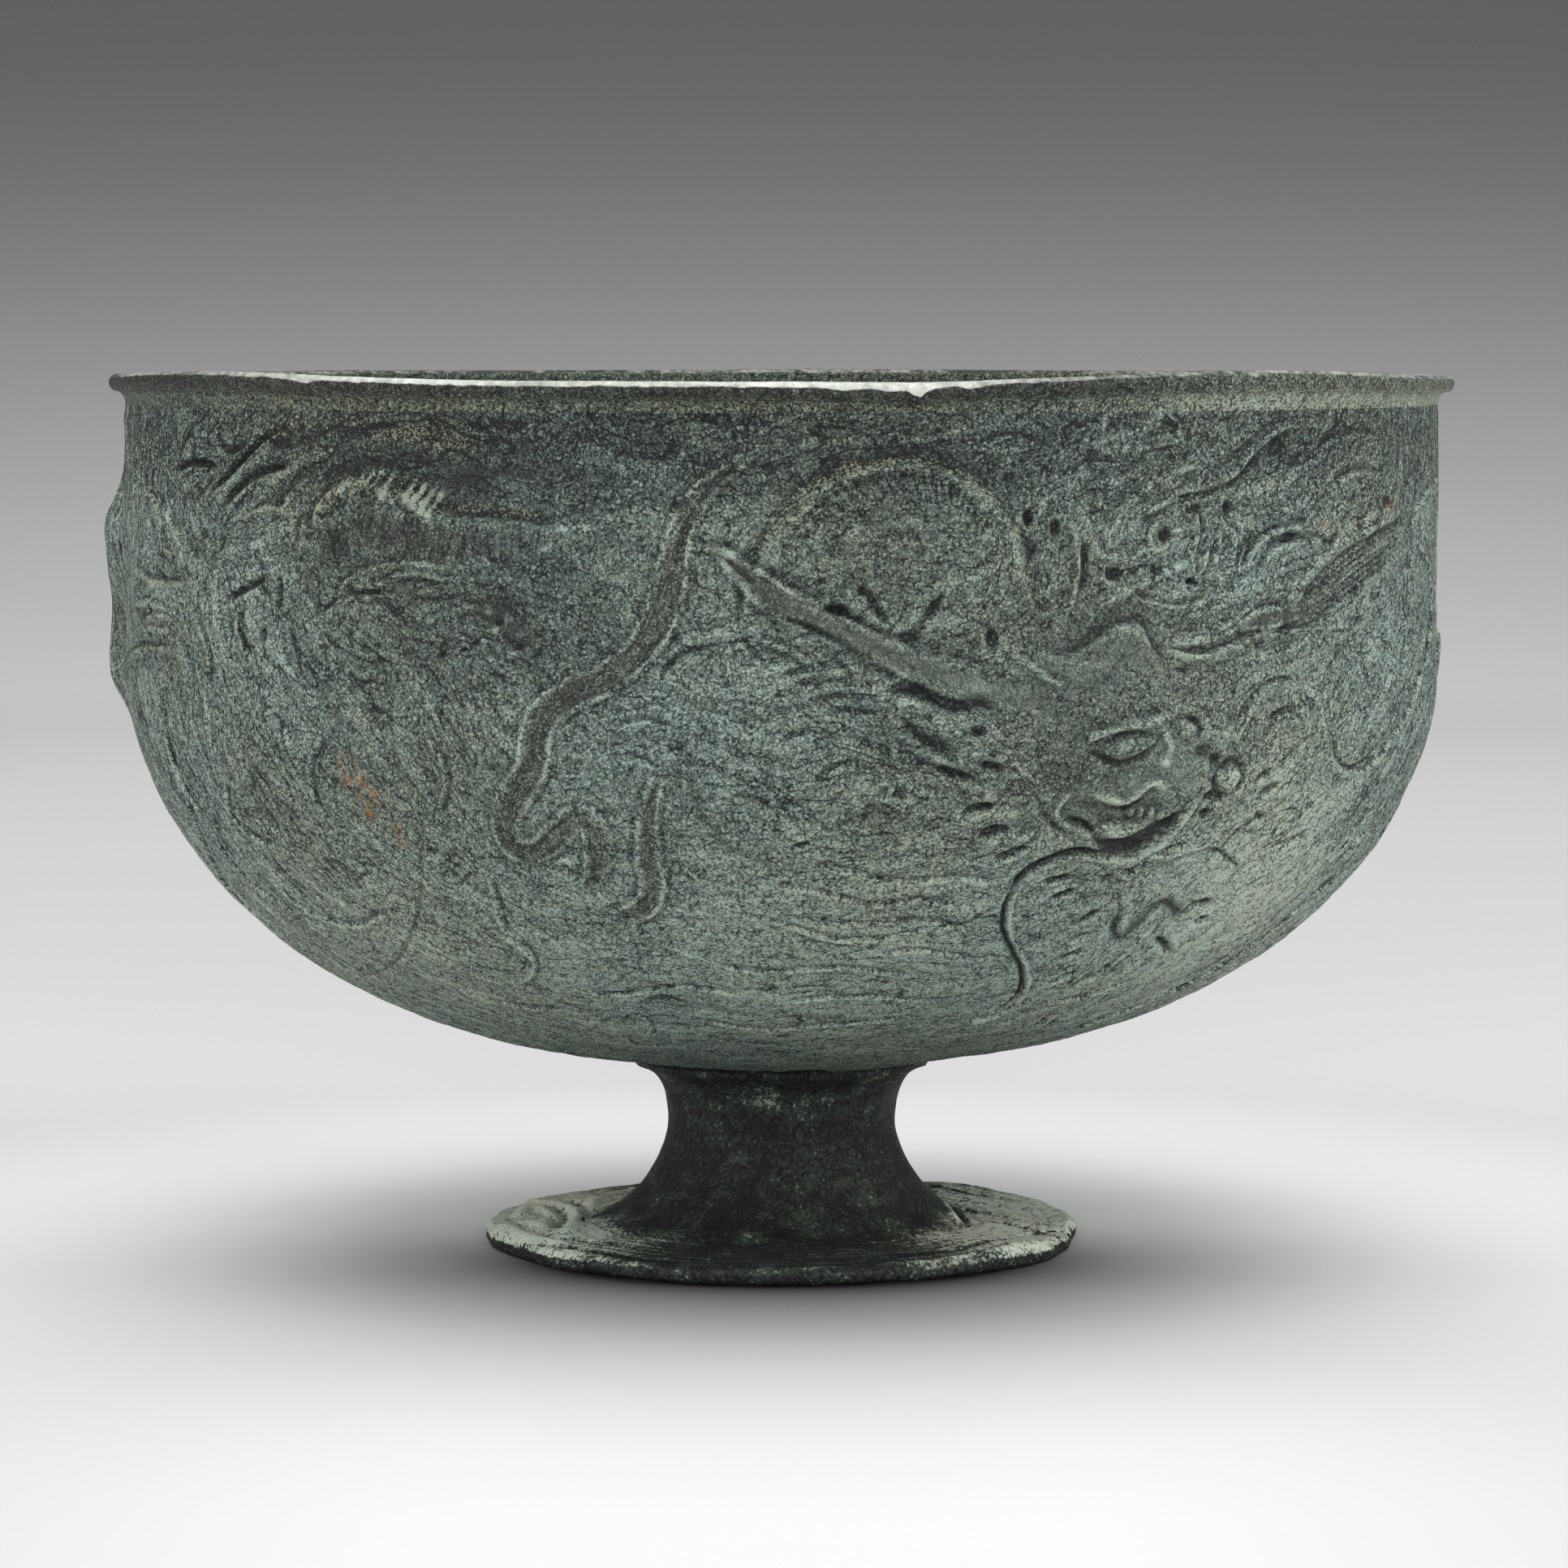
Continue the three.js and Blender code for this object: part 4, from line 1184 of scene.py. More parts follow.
# A painted highlight down the haunch
haunch_painted_highlight = seen((161, 639), (168, 665), (179, 691))
tint(pale_wear_and_highlight, haunch_painted_highlight, 1.5, 0.6)
haunch_fold = seen((175, 746), (194, 743), (212, 750), (231, 761))
cord(haunch_fold, 1.0, 0.35)
haunch_band = seen((184, 768), (205, 768), (224, 770))
band(haunch_band, (1.0, 1.4, 0.8), 0.1, rub=0.7)

# Coils and surf low on the left and across the belly
coil_line = seen((508, 1010), (518, 1040), (519, 1090), (512, 1140), (490, 1182), (452, 1201), (404, 1192))
gouge(coil_line, 0.9, 0.16, fade=0.12)
tint(rusty, coil_line, 0.6, 0.2)
coils = (
    ((280, 956), (283, 1000), (315, 1032), (347, 1045)),
    ((264, 1000), (277, 1051), (341, 1109), (404, 1128)),
    ((226, 956), (245, 1026), (290, 1102), (353, 1153)),
    ((330, 1075), (380, 1120), (440, 1140), (488, 1120)), ((205, 900), (222, 960), (252, 1010)),
    ((400, 900), (380, 950), (396, 1000), (440, 1030)), ((520, 900), (548, 950), (540, 1000)),
    ((602, 1077), (612, 1120), (622, 1150)),
)
draw(cord, coils, 1.1, 0.22, cut=0.18)
surf = (
    ((993, 1070), (1050, 1078), (1105, 1090), (1180, 1084), (1230, 1092)),
    ((940, 1092), (1000, 1100), (1070, 1118), (1140, 1112), (1200, 1122)),
    ((1000, 1132), (1060, 1142), (1130, 1136), (1210, 1148)),
    ((900, 1128), (960, 1140), (1030, 1160), (1110, 1158)), ((1080, 1180), (1140, 1172), (1200, 1184)),
    ((880, 1190), (950, 1200), (1040, 1196), (1120, 1208)),
    ((700, 1216), (760, 1226), (840, 1216), (920, 1226)), ((960, 1236), (1050, 1230), (1140, 1238)),
    ((860, 1256), (940, 1268), (1040, 1262), (1120, 1256)), ((560, 1216), (620, 1236), (700, 1246)),
    ((1280, 1240), (1340, 1226), (1400, 1204)), ((1400, 1236), (1460, 1212), (1520, 1180)),
    ((1010, 960), (1040, 948), (1080, 956)), ((1080, 990), (1104, 976), (1128, 990)),
    ((1040, 1020), (1080, 1008), (1110, 1020)), ((960, 920), (1000, 908), (1040, 918)),
    ((760, 900), (790, 890), (830, 900)),
)
draw(cord, surf, 0.9, 0.2, cut=0.18)
boss(seen((330, 1008)), (2.2, 1.5), -0.3, turn=-50)
hooks = (
    (1.1, 0.3, (612, 1150), (640, 1166), (659, 1187), (652, 1206), (624, 1211)),
    (1.0, 0.2, (782, 1262), (794, 1274), (803, 1268)),
)
draw(cord, hooks)
spiral = seen((765, 1264), (774, 1252), (790, 1249), (804, 1260), (810, 1276))
gouge(spiral, 0.7, 0.22, fade=0.15)
hook_cuts = (
    (0.6, 0.22, (626, 1146), (650, 1162), (664, 1188), (656, 1208), (636, 1214)),
    (0.5, 0.18, (612, 1164), (634, 1176), (646, 1190), (640, 1201)),
    (0.7, 0.2, (764, 1272), (788, 1286), (820, 1288)), (1.2, 0.25, (794, 1232), (818, 1227), (848, 1236)),
)
draw(gouge, hook_cuts)
# Painted shade in the groove beside the spiral
spiral_painted_shade = seen((794, 1236), (818, 1232), (846, 1242))
tint(stain_and_painted_shade, spiral_painted_shade, 1.4, 0.5)

# Mane, flames and clouds at the right
flame_ridge = seen((1601, 519), (1573, 533), (1544, 558), (1523, 583), (1494, 597), (1451, 608), (1423, 626),
                   (1401, 633))
cord(flame_ridge, 1.2, 0.4, fade=0.06, cut=0.25)
right_ridges = (
    ((1423, 629), (1455, 617), (1474, 642), (1465, 693), (1481, 725)),
    ((1270, 680), (1267, 738), (1283, 757), (1302, 751)),
    ((1532, 706), (1544, 674), (1576, 655), (1621, 649)),
    ((1548, 716), (1562, 684), (1592, 670), (1634, 664)),
    ((1380, 720), (1410, 742), (1450, 748), (1490, 740)),
    ((1436, 802), (1487, 808), (1557, 783), (1615, 776)), ((1500, 640), (1520, 660), (1516, 700)),
    ((1104, 540), (1154, 540), (1196, 523)), ((1210, 548), (1244, 540), (1290, 552)),
    ((1620, 560), (1650, 540), (1690, 536)), ((1640, 600), (1670, 584), (1706, 586)),
    ((1700, 770), (1712, 820), (1704, 856)), ((1720, 740), (1732, 790), (1722, 840)),
    ((1660, 780), (1676, 826), (1690, 866)), ((1560, 890), (1580, 880), (1600, 890)),
    ((1330, 560), (1360, 572), (1400, 566)),
)
draw(cord, right_ridges, 1.0, 0.26, cut=0.2)
mane_edge = seen((1482, 572), (1451, 581), (1423, 594), (1398, 615), (1369, 636))
cord(mane_edge, 1.2, 0.4, dust=0.5)
leaf_left = seen((1280, 748), (1269, 722), (1269, 695), (1284, 664))
ledge(leaf_left, 0.35, inner=2.2, outer=1.2, dip=0.6)
leaf_right = seen((1323, 650), (1326, 690), (1323, 726), (1316, 754))
cord(leaf_right, 0.9, 0.4, dust=0.3)
right_knobs = (
    ((1371, 708), (0.9, 0.8), -0.55), ((1435, 660), (0.75, 0.75), -0.55), ((1470, 628), (1.0, 0.5), -0.55),
    ((1512, 626), (0.6, 0.8), -0.55), ((1464, 716), (0.7, 0.3), -0.55), ((1300, 650), (0.6, 1.0), -0.55),
    ((1267, 638), (0.6, 0.9), -0.55), ((1587, 661), (1.3, 0.55), -0.5), ((1690, 640), (2.4, 1.4), 0.4, 35),
    ((1708, 618), (1.0, 0.7), -0.4),
)
stud(right_knobs)
for curl, size in (((1371, 708), 1.9), ((1432, 668), 2.2)):
    scroll(seen(curl), size, turns=0.8, start=40, height=0.35)
mane_cords = (
    (1.0, 0.35, (1355, 542), (1362, 522), (1380, 511), (1394, 515)),
    (1.0, 0.4, (1406, 538), (1412, 524), (1423, 514), (1444, 515), (1455, 529), (1451, 544), (1438, 546)),
    (0.9, 0.25, (1250, 528), (1271, 514), (1293, 526)),
    (1.4, 0.35, (1344, 664), (1356, 684), (1384, 688), (1404, 694)),
    (1.6, 0.35, (1352, 748), (1392, 726), (1432, 706), (1470, 690)),
    (1.1, 0.4, (1534, 692), (1551, 665), (1580, 651), (1609, 647)),
    (0.9, 0.3, (1544, 634), (1575, 628), (1605, 631)),
    (1.1, 0.4, (1734, 660), (1744, 633), (1756, 608), (1768, 588)),
)
draw(cord, mane_cords)
swept_lines = (
    ((1440, 806), (1480, 809), (1516, 794), (1552, 780), (1587, 765)),
    ((1443, 795), (1482, 790), (1521, 774), (1545, 752)),
    ((1491, 833), (1534, 811), (1587, 801), (1623, 769)),
    ((1462, 792), (1500, 776), (1530, 756), (1544, 740)),
)
draw(cord, swept_lines, 1.0, 0.35)
for x in (1466, 1480, 1494):
    cord(seen((x + 2, 630), (x + 6, 664), (x, 700), (x - 14, 732)), 1.0, 0.35)
rubbed_patch = seen((1524, 770), (1548, 763), (1576, 758), (1602, 755))
band(rubbed_patch, (0.5, 1.6, 1.5, 0.4), 0.2, rub=1.0, dust=0.0)
patch_stain = seen((1530, 769), (1565, 761), (1598, 755))
tint(stain_and_painted_shade, patch_stain, 1.5, 0.35)
upper_strand = np.array(((1606, 740), (1638, 705), (1684, 670), (1738, 638)))
lower_strand = np.array(((1596, 770), (1642, 750), (1688, 712), (1744, 664)))
for share in np.linspace(0, 1, 7):
    strand = seen(*part_way(upper_strand, lower_strand, share))
    cord(strand, 0.8, 0.35, cut=0.3)
    tint(rubbed, strand, 1.0, 0.6)
limb_edge = seen((1318, 1266), (1400, 1238), (1500, 1190), (1580, 1138), (1650, 1078), (1700, 1028),
                 (1736, 982))
ledge(limb_edge, 0.22, inner=3.0, outer=1.2, dip=0.5, fade=0.03)
gouge(limb_edge, 0.5, 0.2, fade=0.05)
mane_cuts = (
    (0.8, 0.2, (1590, 512), (1560, 530), (1532, 552), (1508, 575), (1484, 590)),
    (1.2, 0.4, (1331, 655), (1336, 700), (1331, 735)), (1.0, 0.35, (1612, 648), (1640, 668), (1652, 652)),
)
draw(gouge, mane_cuts)
right_cuts = (
    ((1542, 960), (1555, 953), (1568, 945)), ((1547, 980), (1560, 973), (1577, 965)),
    ((1546, 998), (1552, 1006), (1560, 1010)), ((1670, 1022), (1649, 1048), (1628, 1070)),
    ((1690, 1010), (1668, 1040), (1650, 1062)), ((1560, 1048), (1590, 1036), (1620, 1018)),
)
draw(gouge, right_cuts, 1.2, 0.45)

# The dragon's body and tail round the back, with clouds above and surf below
CREST_COUNT = 9
CREST_START = 108
CREST_STEP = 18
CREST_LEVEL = 26
CREST_RISE = 2
tail = placed((-98, 58), (-118, 50), (-140, 47), (-160, 53), (-178, 62), (-196, 62), (-210, 53), (-222, 44),
              (-238, 42), (-252, 50))
swell(tail, (10, 11, 11, 10, 9, 8, 6, 4), 0.5)
tail_back = placed((-253, 53), (-239, 45.5), (-225, 48), (-214, 58), (-198, 68), (-176, 69), (-157, 60),
                   (-139, 53.5), (-116, 57), (-96, 65))
ledge(tail_back, 0.8, inner=5, outer=2.2, dip=0.4, edge=0.5, fade=0.04, dust=0.5)
comb(tail_back, count=60, length=3.4, depth=0.4, lean=62)
tail_belly = placed((-98, 51), (-117, 43), (-141, 40), (-163, 46.5), (-180, 55), (-193, 55.5), (-206, 48),
                    (-220, 39.5), (-240, 38.5), (-256, 47))
ledge(tail_belly, 0.5, inner=4, outer=2.0, dip=0.5, edge=0.5, fade=0.06)
back_ribbon = placed((-125, 68), (-132, 60), (-146, 66), (-158, 71), (-168, 66))
band(back_ribbon, (0.6, 2.2, 2.4, 1.8, 0.4), 0.5, dust=0.4)
tail_ribbon = placed((-205, 40), (-190, 34), (-176, 38), (-164, 33), (-150, 30))
band(tail_ribbon, (0.6, 2.4, 2.6, 2.0, 0.4), 0.5, dust=0.3)
tail_flames = (
    ((-252, 52), (-262, 60), (-266, 70)), ((-250, 48), (-258, 44), (-264, 36)),
    ((-254, 50), (-266, 52), (-276, 58)),
)
for flame in tail_flames:
    band(placed(*flame), (1.6, 2.2, 0.3), 0.45, fade=(0.1, 0.02))
leg = placed((-150, 44), (-146, 37), (-152, 32), (-160, 29))
band(leg, (5.0, 4.0, 3.0, 2.6), 0.7, rub=0.5)
for claw in ((-166, 31), (-167, 27.5), (-163, 25.5), (-155, 26)):
    cord(placed((-160, 29), claw), (1.6, 0.5), 0.6, fade=0.05)
back_clouds = ((-112, 71, 3.4), (-190, 74, 2.6), (-224, 68, 3.4), (-238, 62, 2.6), (-150, 75, 2.4),
               (-262, 74, 2.6), (-114, 34, 2.8))
for degrees, height, size in back_clouds:
    large_curl = placed((degrees, height))
    scroll(large_curl, size, turns=2.1, start=215, height=0.6, width=1.2)
    small_curl = placed((degrees + 6, height - 1.2))
    scroll(small_curl, size * 0.75, turns=1.8, start=325, height=0.5, width=1.1, flip=-1)
    cloud_tail = placed((degrees + 3, height - 3), (degrees + 12, height - 2.4), (degrees + 22, height - 0.5))
    cord(cloud_tail, 1.2, 0.35)
for number in range(CREST_COUNT):
    wave_crest = placed((CREST_START + number * CREST_STEP, CREST_LEVEL + CREST_RISE * (number % 2)))
    scroll(wave_crest, 3.0, turns=2.0, start=215, height=0.55, width=1.2)

# Slow changes of tone: a dark belt under the rim, of dirt and painted shade, and dull patches at the left,
# with painted light on a belly paler towards the right and painted shade near the seat
UNDER_RIM_DIRT_AND_PAINTED_SHADE = -0.5
BELLY_PAINTED_LIGHT = 0.34
SEAT_PAINTED_SHADE = -0.25
under_rim = step(68, 77, row_height)[:, None]
tone_and_painted_light = UNDER_RIM_DIRT_AND_PAINTED_SHADE * under_rim + BELLY_PAINTED_LIGHT * step(48, 28, row_height)[:, None]
tone_and_painted_light = tone_and_painted_light + SEAT_PAINTED_SHADE * step(25, 20, row_height)[:, None] + np.zeros_like(relief)
# Marks of tone by place in the picture, size and amount: dull patches, and painted light on the lower belly
tone_and_painted_light_marks = (
    (480, 800, 12, -0.25), (620, 760, 8, -0.2), (440, 540, 10, -0.2), (1300, 930, 9, -0.15),
    (1100, 660, 9, -0.2), (1520, 1110, 11, 0.5), (1620, 1000, 9, 0.3), (980, 1160, 12, 0.12),
    (1700, 800, 8, 0.15), (690, 790, 6, -0.15), (1150, 900, 6, -0.2), (740, 570, 8, -0.2),
    (520, 545, 8, -0.2), (1330, 840, 7, -0.12),
)


def soft_spot(x, y, size):
    """A soft round spot on the wall about a place in the picture."""
    angle, run = seen((x, y))
    across = away_from(column_angle, angle[0], FULL_TURN)[None, :] * row_radius[:, None]
    return np.exp(-(across ** 2 + (row_run[:, None] - run[0]) ** 2) / size ** 2)


for x, y, size, amount in tone_and_painted_light_marks:
    tone_and_painted_light += amount * soft_spot(x, y, size)

# Quieter places, where the chased strokes are few
quiet = np.zeros_like(relief)
quiet_marks = (
    (1390, 960, 8, 0.8), (1340, 860, 6, 0.6), (1120, 670, 8, 0.6), (1420, 1100, 6, 0.6), (760, 1000, 8, 0.4),
)
for x, y, size, amount in quiet_marks:
    quiet = np.maximum(quiet, amount * soft_spot(x, y, size))

# Drift of the chased surface: places in the picture and how strokes slope there, in degrees down to the right
STREAK_SEED = 11
STREAK_STEP = 0.25
DRIFT_LOOK = 6
DRIFT_RADIUS = 55
DRIFT_SOFTNESS = 12
drift_marks = (
    (170, 560, 88), (165, 850, 80), (240, 900, 74), (300, 1050, 52), (420, 1150, 34), (600, 1230, 18),
    (800, 1200, 4), (960, 1120, 4), (1100, 1070, -6), (1150, 1180, 0), (1350, 1250, -14), (1500, 1170, -26),
    (1600, 1080, -40), (1690, 980, -56), (1740, 800, -80), (1750, 600, -86), (1650, 760, -40),
    (1560, 800, -20), (1400, 560, -16), (1100, 530, 0), (800, 540, 6), (560, 560, 14), (420, 570, -26),
    (300, 560, -40), (700, 760, 30), (560, 760, 8), (420, 860, 50), (560, 900, 60), (520, 1060, 30),
    (740, 940, 10), (950, 930, 6), (1000, 720, -20), (1100, 660, -10), (1300, 700, -70), (1060, 960, 12),
    (230, 730, 76), (300, 830, 70),
    (1280, 930, 30), (1330, 850, 12), (1250, 1000, -20), (1400, 1200, -38), (1660, 880, -60),
)
mark_angle, mark_run = seen(*[place[:2] for place in drift_marks])
drift_ends = []
for x, y, lean in drift_marks:
    turn = math.radians(lean)
    drift_ends.append((x + DRIFT_LOOK * math.cos(turn), y + DRIFT_LOOK * math.sin(turn)))
next_angle, next_run = seen(*drift_ends)
mark_radius = np.interp(mark_run, row_run, row_radius)
mark_turn = np.arctan2(next_run - mark_run, (next_angle - mark_angle) * mark_radius)
drift_x = np.zeros_like(relief)
drift_y = np.zeros_like(relief)
for a, r, turn in zip(mark_angle, mark_run, mark_turn):
    away = away_from(column_angle, a, FULL_TURN)
    pull = 1 / ((away[None, :] * DRIFT_RADIUS) ** 2 + (row_run[:, None] - r) ** 2 + DRIFT_SOFTNESS) ** 2
    drift_x += pull * math.cos(2 * turn)
    drift_y += pull * math.sin(2 * turn)
wander = 0.22 * np.sin(column_angle * 34 + row_run[:, None] * 0.5)
wander = wander + 0.14 * np.sin(column_angle * 71 - row_run[:, None] * 0.33)
drift_size = np.hypot(drift_x, drift_y)
drift_x = part_way(drift_x / drift_size, np.cos(2 * follow_turn), followed)
drift_y = part_way(drift_y / drift_size, np.sin(2 * follow_turn), followed)
heading = 0.5 * np.arctan2(drift_y, drift_x) + wander * (1 - followed)


def combed(field, length):
    """Drags a field along the drift of the surface, so that its grains lie as streaks."""
    dragged = field.copy()
    for way in (1, -1):
        row, column = np.indices(relief.shape).astype(float)
        last_x = way * np.cos(heading)
        last_y = way * np.sin(heading)
        for _ in range(int(length / STREAK_STEP)):
            r = row.astype(int).clip(0, len(row_run) - 1)
            c = column.astype(int) % COLUMNS
            x = np.cos(heading[r, c])
            y = np.sin(heading[r, c])
            same = np.where(x * last_x + y * last_y < 0, -1, 1)
            last_x = x * same
            last_y = y * same
            row += last_y * STREAK_STEP / ROW_STEP
            column += last_x * STREAK_STEP / (row_radius[r] * column_gap[c])
            dragged += field[row.astype(int).clip(0, len(row_run) - 1), column.astype(int) % COLUMNS]
    return dragged / dragged.std(axis=1, keepdims=True)


def blurred(field, cells):
    """Evens a field out over a square of cells, running on round the cup."""
    for axis, mode in ((1, "wrap"), (0, "edge")):
        pad = [(0, 0), (0, 0)]
        pad[axis] = (cells, cells)
        summed = np.cumsum(np.insert(np.pad(field, pad, mode=mode), 0, 0, axis=axis), axis=axis)
        size = field.shape[axis]
        high = np.take(summed, np.arange(2 * cells + 1, 2 * cells + 1 + size), axis=axis)
        low = np.take(summed, np.arange(size), axis=axis)
        field = (high - low) / (2 * cells + 1)
    return field


def uneven(seed, cells):
    """Random unevenness of about one, smooth over some cells, from a fixed seed."""
    field = np.random.default_rng(seed).normal(size=relief.shape)
    field = blurred(blurred(field, cells), cells) if cells else field
    return field / field.std()


# Grain, streaks and furrows laid along the drift, and the marks that the patina reads from the relief
SHOULDER_FADE = 1.6
SEAT_FADE = 3.0
DEEPEST_CUT = -1.2
HIGHEST_SWELL = 2.6
NARROW_CELLS = 3
WIDE_CELLS = 12
CAST_SWELL = 0.12
CAST_SWELL_SEED = 3
CAST_RIPPLE = 0.035
CAST_RIPPLE_SEED = 4
BROKEN_SEED = 21
GRAIN_DEPTH = 0.016
STREAK_DEPTH = 0.015
LOW_STREAK_DEPTH = 0.013
FURROW_DEPTH = 0.01
LOW_FURROW_DEPTH = 0.016
SIDE_FURROW_DEPTH = 0.02
WALL_CONTRAST = 1.08
SIDE_CONTRAST = 0.4
UNDER_RIM_CONTRAST = 0.25
HOLLOW_TONE = 2.9
WIDE_HOLLOW_TONE = 0.5
PROUD_TONE = 1.3
PALE_TONE = 1.2
grain = combed(uneven(STREAK_SEED, cells=0), length=0.6)
streak = combed(uneven(STREAK_SEED + 1, cells=1), length=3.5)
furrow = combed(uneven(STREAK_SEED + 2, cells=2), length=8.0)
low_belly = step(0.75, 0.35, row_run / wall_run)[:, None]
calm_share = (1 - 0.6 * rubbed) * (1 - 0.6 * quiet)
top_fade = step(0, SHOULDER_FADE, wall_run - row_run)[:, None]
foot_fade = step(0, SEAT_FADE, row_run)[:, None]
relief = np.clip(relief * top_fade * foot_fade, DEEPEST_CUT, HIGHEST_SWELL)
near_level = relief - blurred(blurred(relief, NARROW_CELLS), NARROW_CELLS)
wide_level = relief - blurred(blurred(relief, WIDE_CELLS), WIDE_CELLS)
side_share = step(25, 75, np.abs(away_from(np.degrees(column_angle), 0)))[None, :]
scored = GRAIN_DEPTH * grain + (STREAK_DEPTH + LOW_STREAK_DEPTH * low_belly) * streak
scored += (FURROW_DEPTH + LOW_FURROW_DEPTH * low_belly + SIDE_FURROW_DEPTH * side_share) * furrow
rough = WALL_CONTRAST + SIDE_CONTRAST * side_share + UNDER_RIM_CONTRAST * under_rim - smoothed
relief += calm_share * scored * top_fade * foot_fade
cast = CAST_SWELL * uneven(CAST_SWELL_SEED, cells=24) + CAST_RIPPLE * uneven(CAST_RIPPLE_SEED, cells=9)
relief += cast * top_fade * foot_fade
broken = np.clip(0.45 + 0.7 * uneven(BROKEN_SEED, cells=2), 0, 1)
# Patina and painted shade in hollows; wear and painted highlights on what stands proud and on pale marks
hollow_patina_and_painted_shade = np.clip(-near_level, 0, None) * HOLLOW_TONE + np.clip(-wide_level, 0, None) * WIDE_HOLLOW_TONE
proud_wear_and_painted_highlight = np.clip(near_level, 0, None) * PROUD_TONE
level = np.clip(proud_wear_and_painted_highlight - hollow_patina_and_painted_shade + PALE_TONE * pale_wear_and_highlight * broken + tone_and_painted_light, -1.1, 1.0)
grain_mark = 0.05 * grain + 0.04 * streak + 0.01 * furrow

# Rings of the bowl's section, from the rivet hole out, up the wall, over the rebate and down inside
HALF = 2
QUARTER = 4
rings = []


def ring(radius, height, every, row=None):
    rings.append((np.broadcast_to(radius, COLUMNS), np.broadcast_to(height, COLUMNS), every, row))


ring(RIVET_HOLE_RADIUS, seat_level, QUARTER)
ring(SEAT_PAD_RADIUS * 0.98, seat_level, QUARTER)
for i in range(len(row_run)):
    out = math.sin(row_slope[i])
    up = -math.cos(row_slope[i])
    every = HALF if row_radius[i] < SLOW_RADIUS else 1
    ring(row_radius[i] + out * relief[i], row_height[i] + up * relief[i], every, i)
ring(rebate_radius, shoulder_level, HALF)
ring(rebate_radius, shoulder_level - RIM_LAP, QUARTER)
ring(inner_radius, shoulder_level - RIM_LAP, QUARTER)
inside_depth = BELLY_DEPTH - BOWL_FLOOR
inside_radius, inside_height = belly_section(inner_radius, inside_depth, RIVET_SEAT_RADIUS, steps=22)
for radius, height in zip(inside_radius[::-1], inside_height[::-1]):
    ring(radius, height, QUARTER)
ring(RIVET_SEAT_RADIUS, floor_level, QUARTER)
ring(RIVET_HOLE_RADIUS, floor_level, QUARTER)
marks = {"level": level, "grain": grain_mark, "streak": streak / (1 - quiet), "furrow": furrow / (1 - quiet),
         "rough": rough, "rubbed": rubbed, "dusty": dusty, "rusty": rusty, "stain_and_painted_shade": stain_and_painted_shade}


def bowl_sector(name, first, last, material):
    """Builds the part of the bowl between two columns as a closed mesh with a flat cut at either end."""
    vertices, starts, count = [], [], 0
    values = {key: [] for key in (*marks, "inside")}
    for radius, height, every, row in rings:
        columns = np.arange(first, last + 1, every) % COLUMNS
        starts.append(count)
        count += len(columns)
        around = column_angle[columns]
        points = (radius[columns] * np.sin(around), -radius[columns] * np.cos(around), height[columns])
        vertices.append(np.column_stack(points) * MM)
        for key, field in marks.items():
            values[key].append(np.zeros(len(columns)) if row is None else field[row, columns])
        values["inside"].append(np.full(len(columns), 1.0 if row is None else 0.0))
    faces = []
    for number in range(len(rings)):
        after = (number + 1) % len(rings)
        gap, gap_after = rings[number][2], rings[after][2]
        wide, narrow = max(gap, gap_after), min(gap, gap_after)
        here, there = starts[number], starts[after]
        left = np.arange(0, last - first, wide)
        right = left + wide
        middle = left + wide // 2
        if gap == gap_after:
            quads = (here + left // gap, here + right // gap, there + right // gap, there + left // gap)
            faces.extend(np.column_stack(quads).tolist())
            continue
        fans = []
        for small in range(0, wide, narrow):
            start = left + small
            end = start + narrow
            pivot = left if small < wide / 2 else right
            if gap < gap_after:
                fans.append((here + start // gap, here + end // gap, there + pivot // gap_after))
            else:
                fans.append((here + pivot // gap, there + end // gap_after, there + start // gap_after))
        if gap < gap_after:
            fans.append((here + middle // gap, there + right // gap_after, there + left // gap_after))
        else:
            fans.append((here + left // gap, here + right // gap, there + middle // gap_after))
        for fan in fans:
            faces.extend(np.column_stack(fan).tolist())
    faces.append(starts)
    faces.append([start + (last - first) // item[2] for start, item in zip(starts, rings)][::-1])
    mesh = bpy.data.meshes.new(name)
    mesh.from_pydata(np.vstack(vertices).tolist(), [], faces)
    mesh.polygons.foreach_set("use_smooth", [True] * (len(faces) - 2) + [False] * 2)
    mesh.set_sharp_from_angle(angle=math.radians(70))
    mesh.materials.append(material)
    for key, parts in values.items():
        store_mark(mesh, key, np.concatenate(parts))
    sector = bpy.data.objects.new(name, mesh)
    bpy.context.scene.collection.objects.link(sector)
    return sector


bowl_bronze, bowl_coat = patinated("bowl_bronze", 0.035, {})
bowl_tree = bowl_bronze.node_tree
for socket, name in (("Level", "level"), ("Contrast", "rough"), ("Rub", "rubbed"), ("Dust", "dusty")):
    bowl_tree.links.new(mark(bowl_tree, name), bowl_coat.inputs[socket])
streak_size = maths(bowl_tree, "ABSOLUTE", mark(bowl_tree, "streak"))
streak_line = between(bowl_tree, 0.18, 0.0, streak_size, "LINEAR")
furrow_size = maths(bowl_tree, "ABSOLUTE", mark(bowl_tree, "furrow"))
furrow_line = between(bowl_tree, 0.13, 0.0, furrow_size, "LINEAR")
chased = total(bowl_tree, mark(bowl_tree, "grain"), (streak_line, -0.32), (furrow_line, -0.4), 0.05)
bowl_tree.links.new(chased, bowl_coat.inputs["Grain"])
bowl_place = put(bowl_tree, "ShaderNodeTexCoord", {}).outputs["Object"]
fleck = between(bowl_tree, -0.05, 0.2, noise(bowl_tree, bowl_place, 1400.0, detail=3.0))
rust_share = product(bowl_tree, mark(bowl_tree, "rusty"), fleck)
stain_and_painted_shade_share = product(bowl_tree, mark(bowl_tree, "stain_and_painted_shade"), 0.85)
inside_share = product(bowl_tree, mark(bowl_tree, "inside"), 0.8)
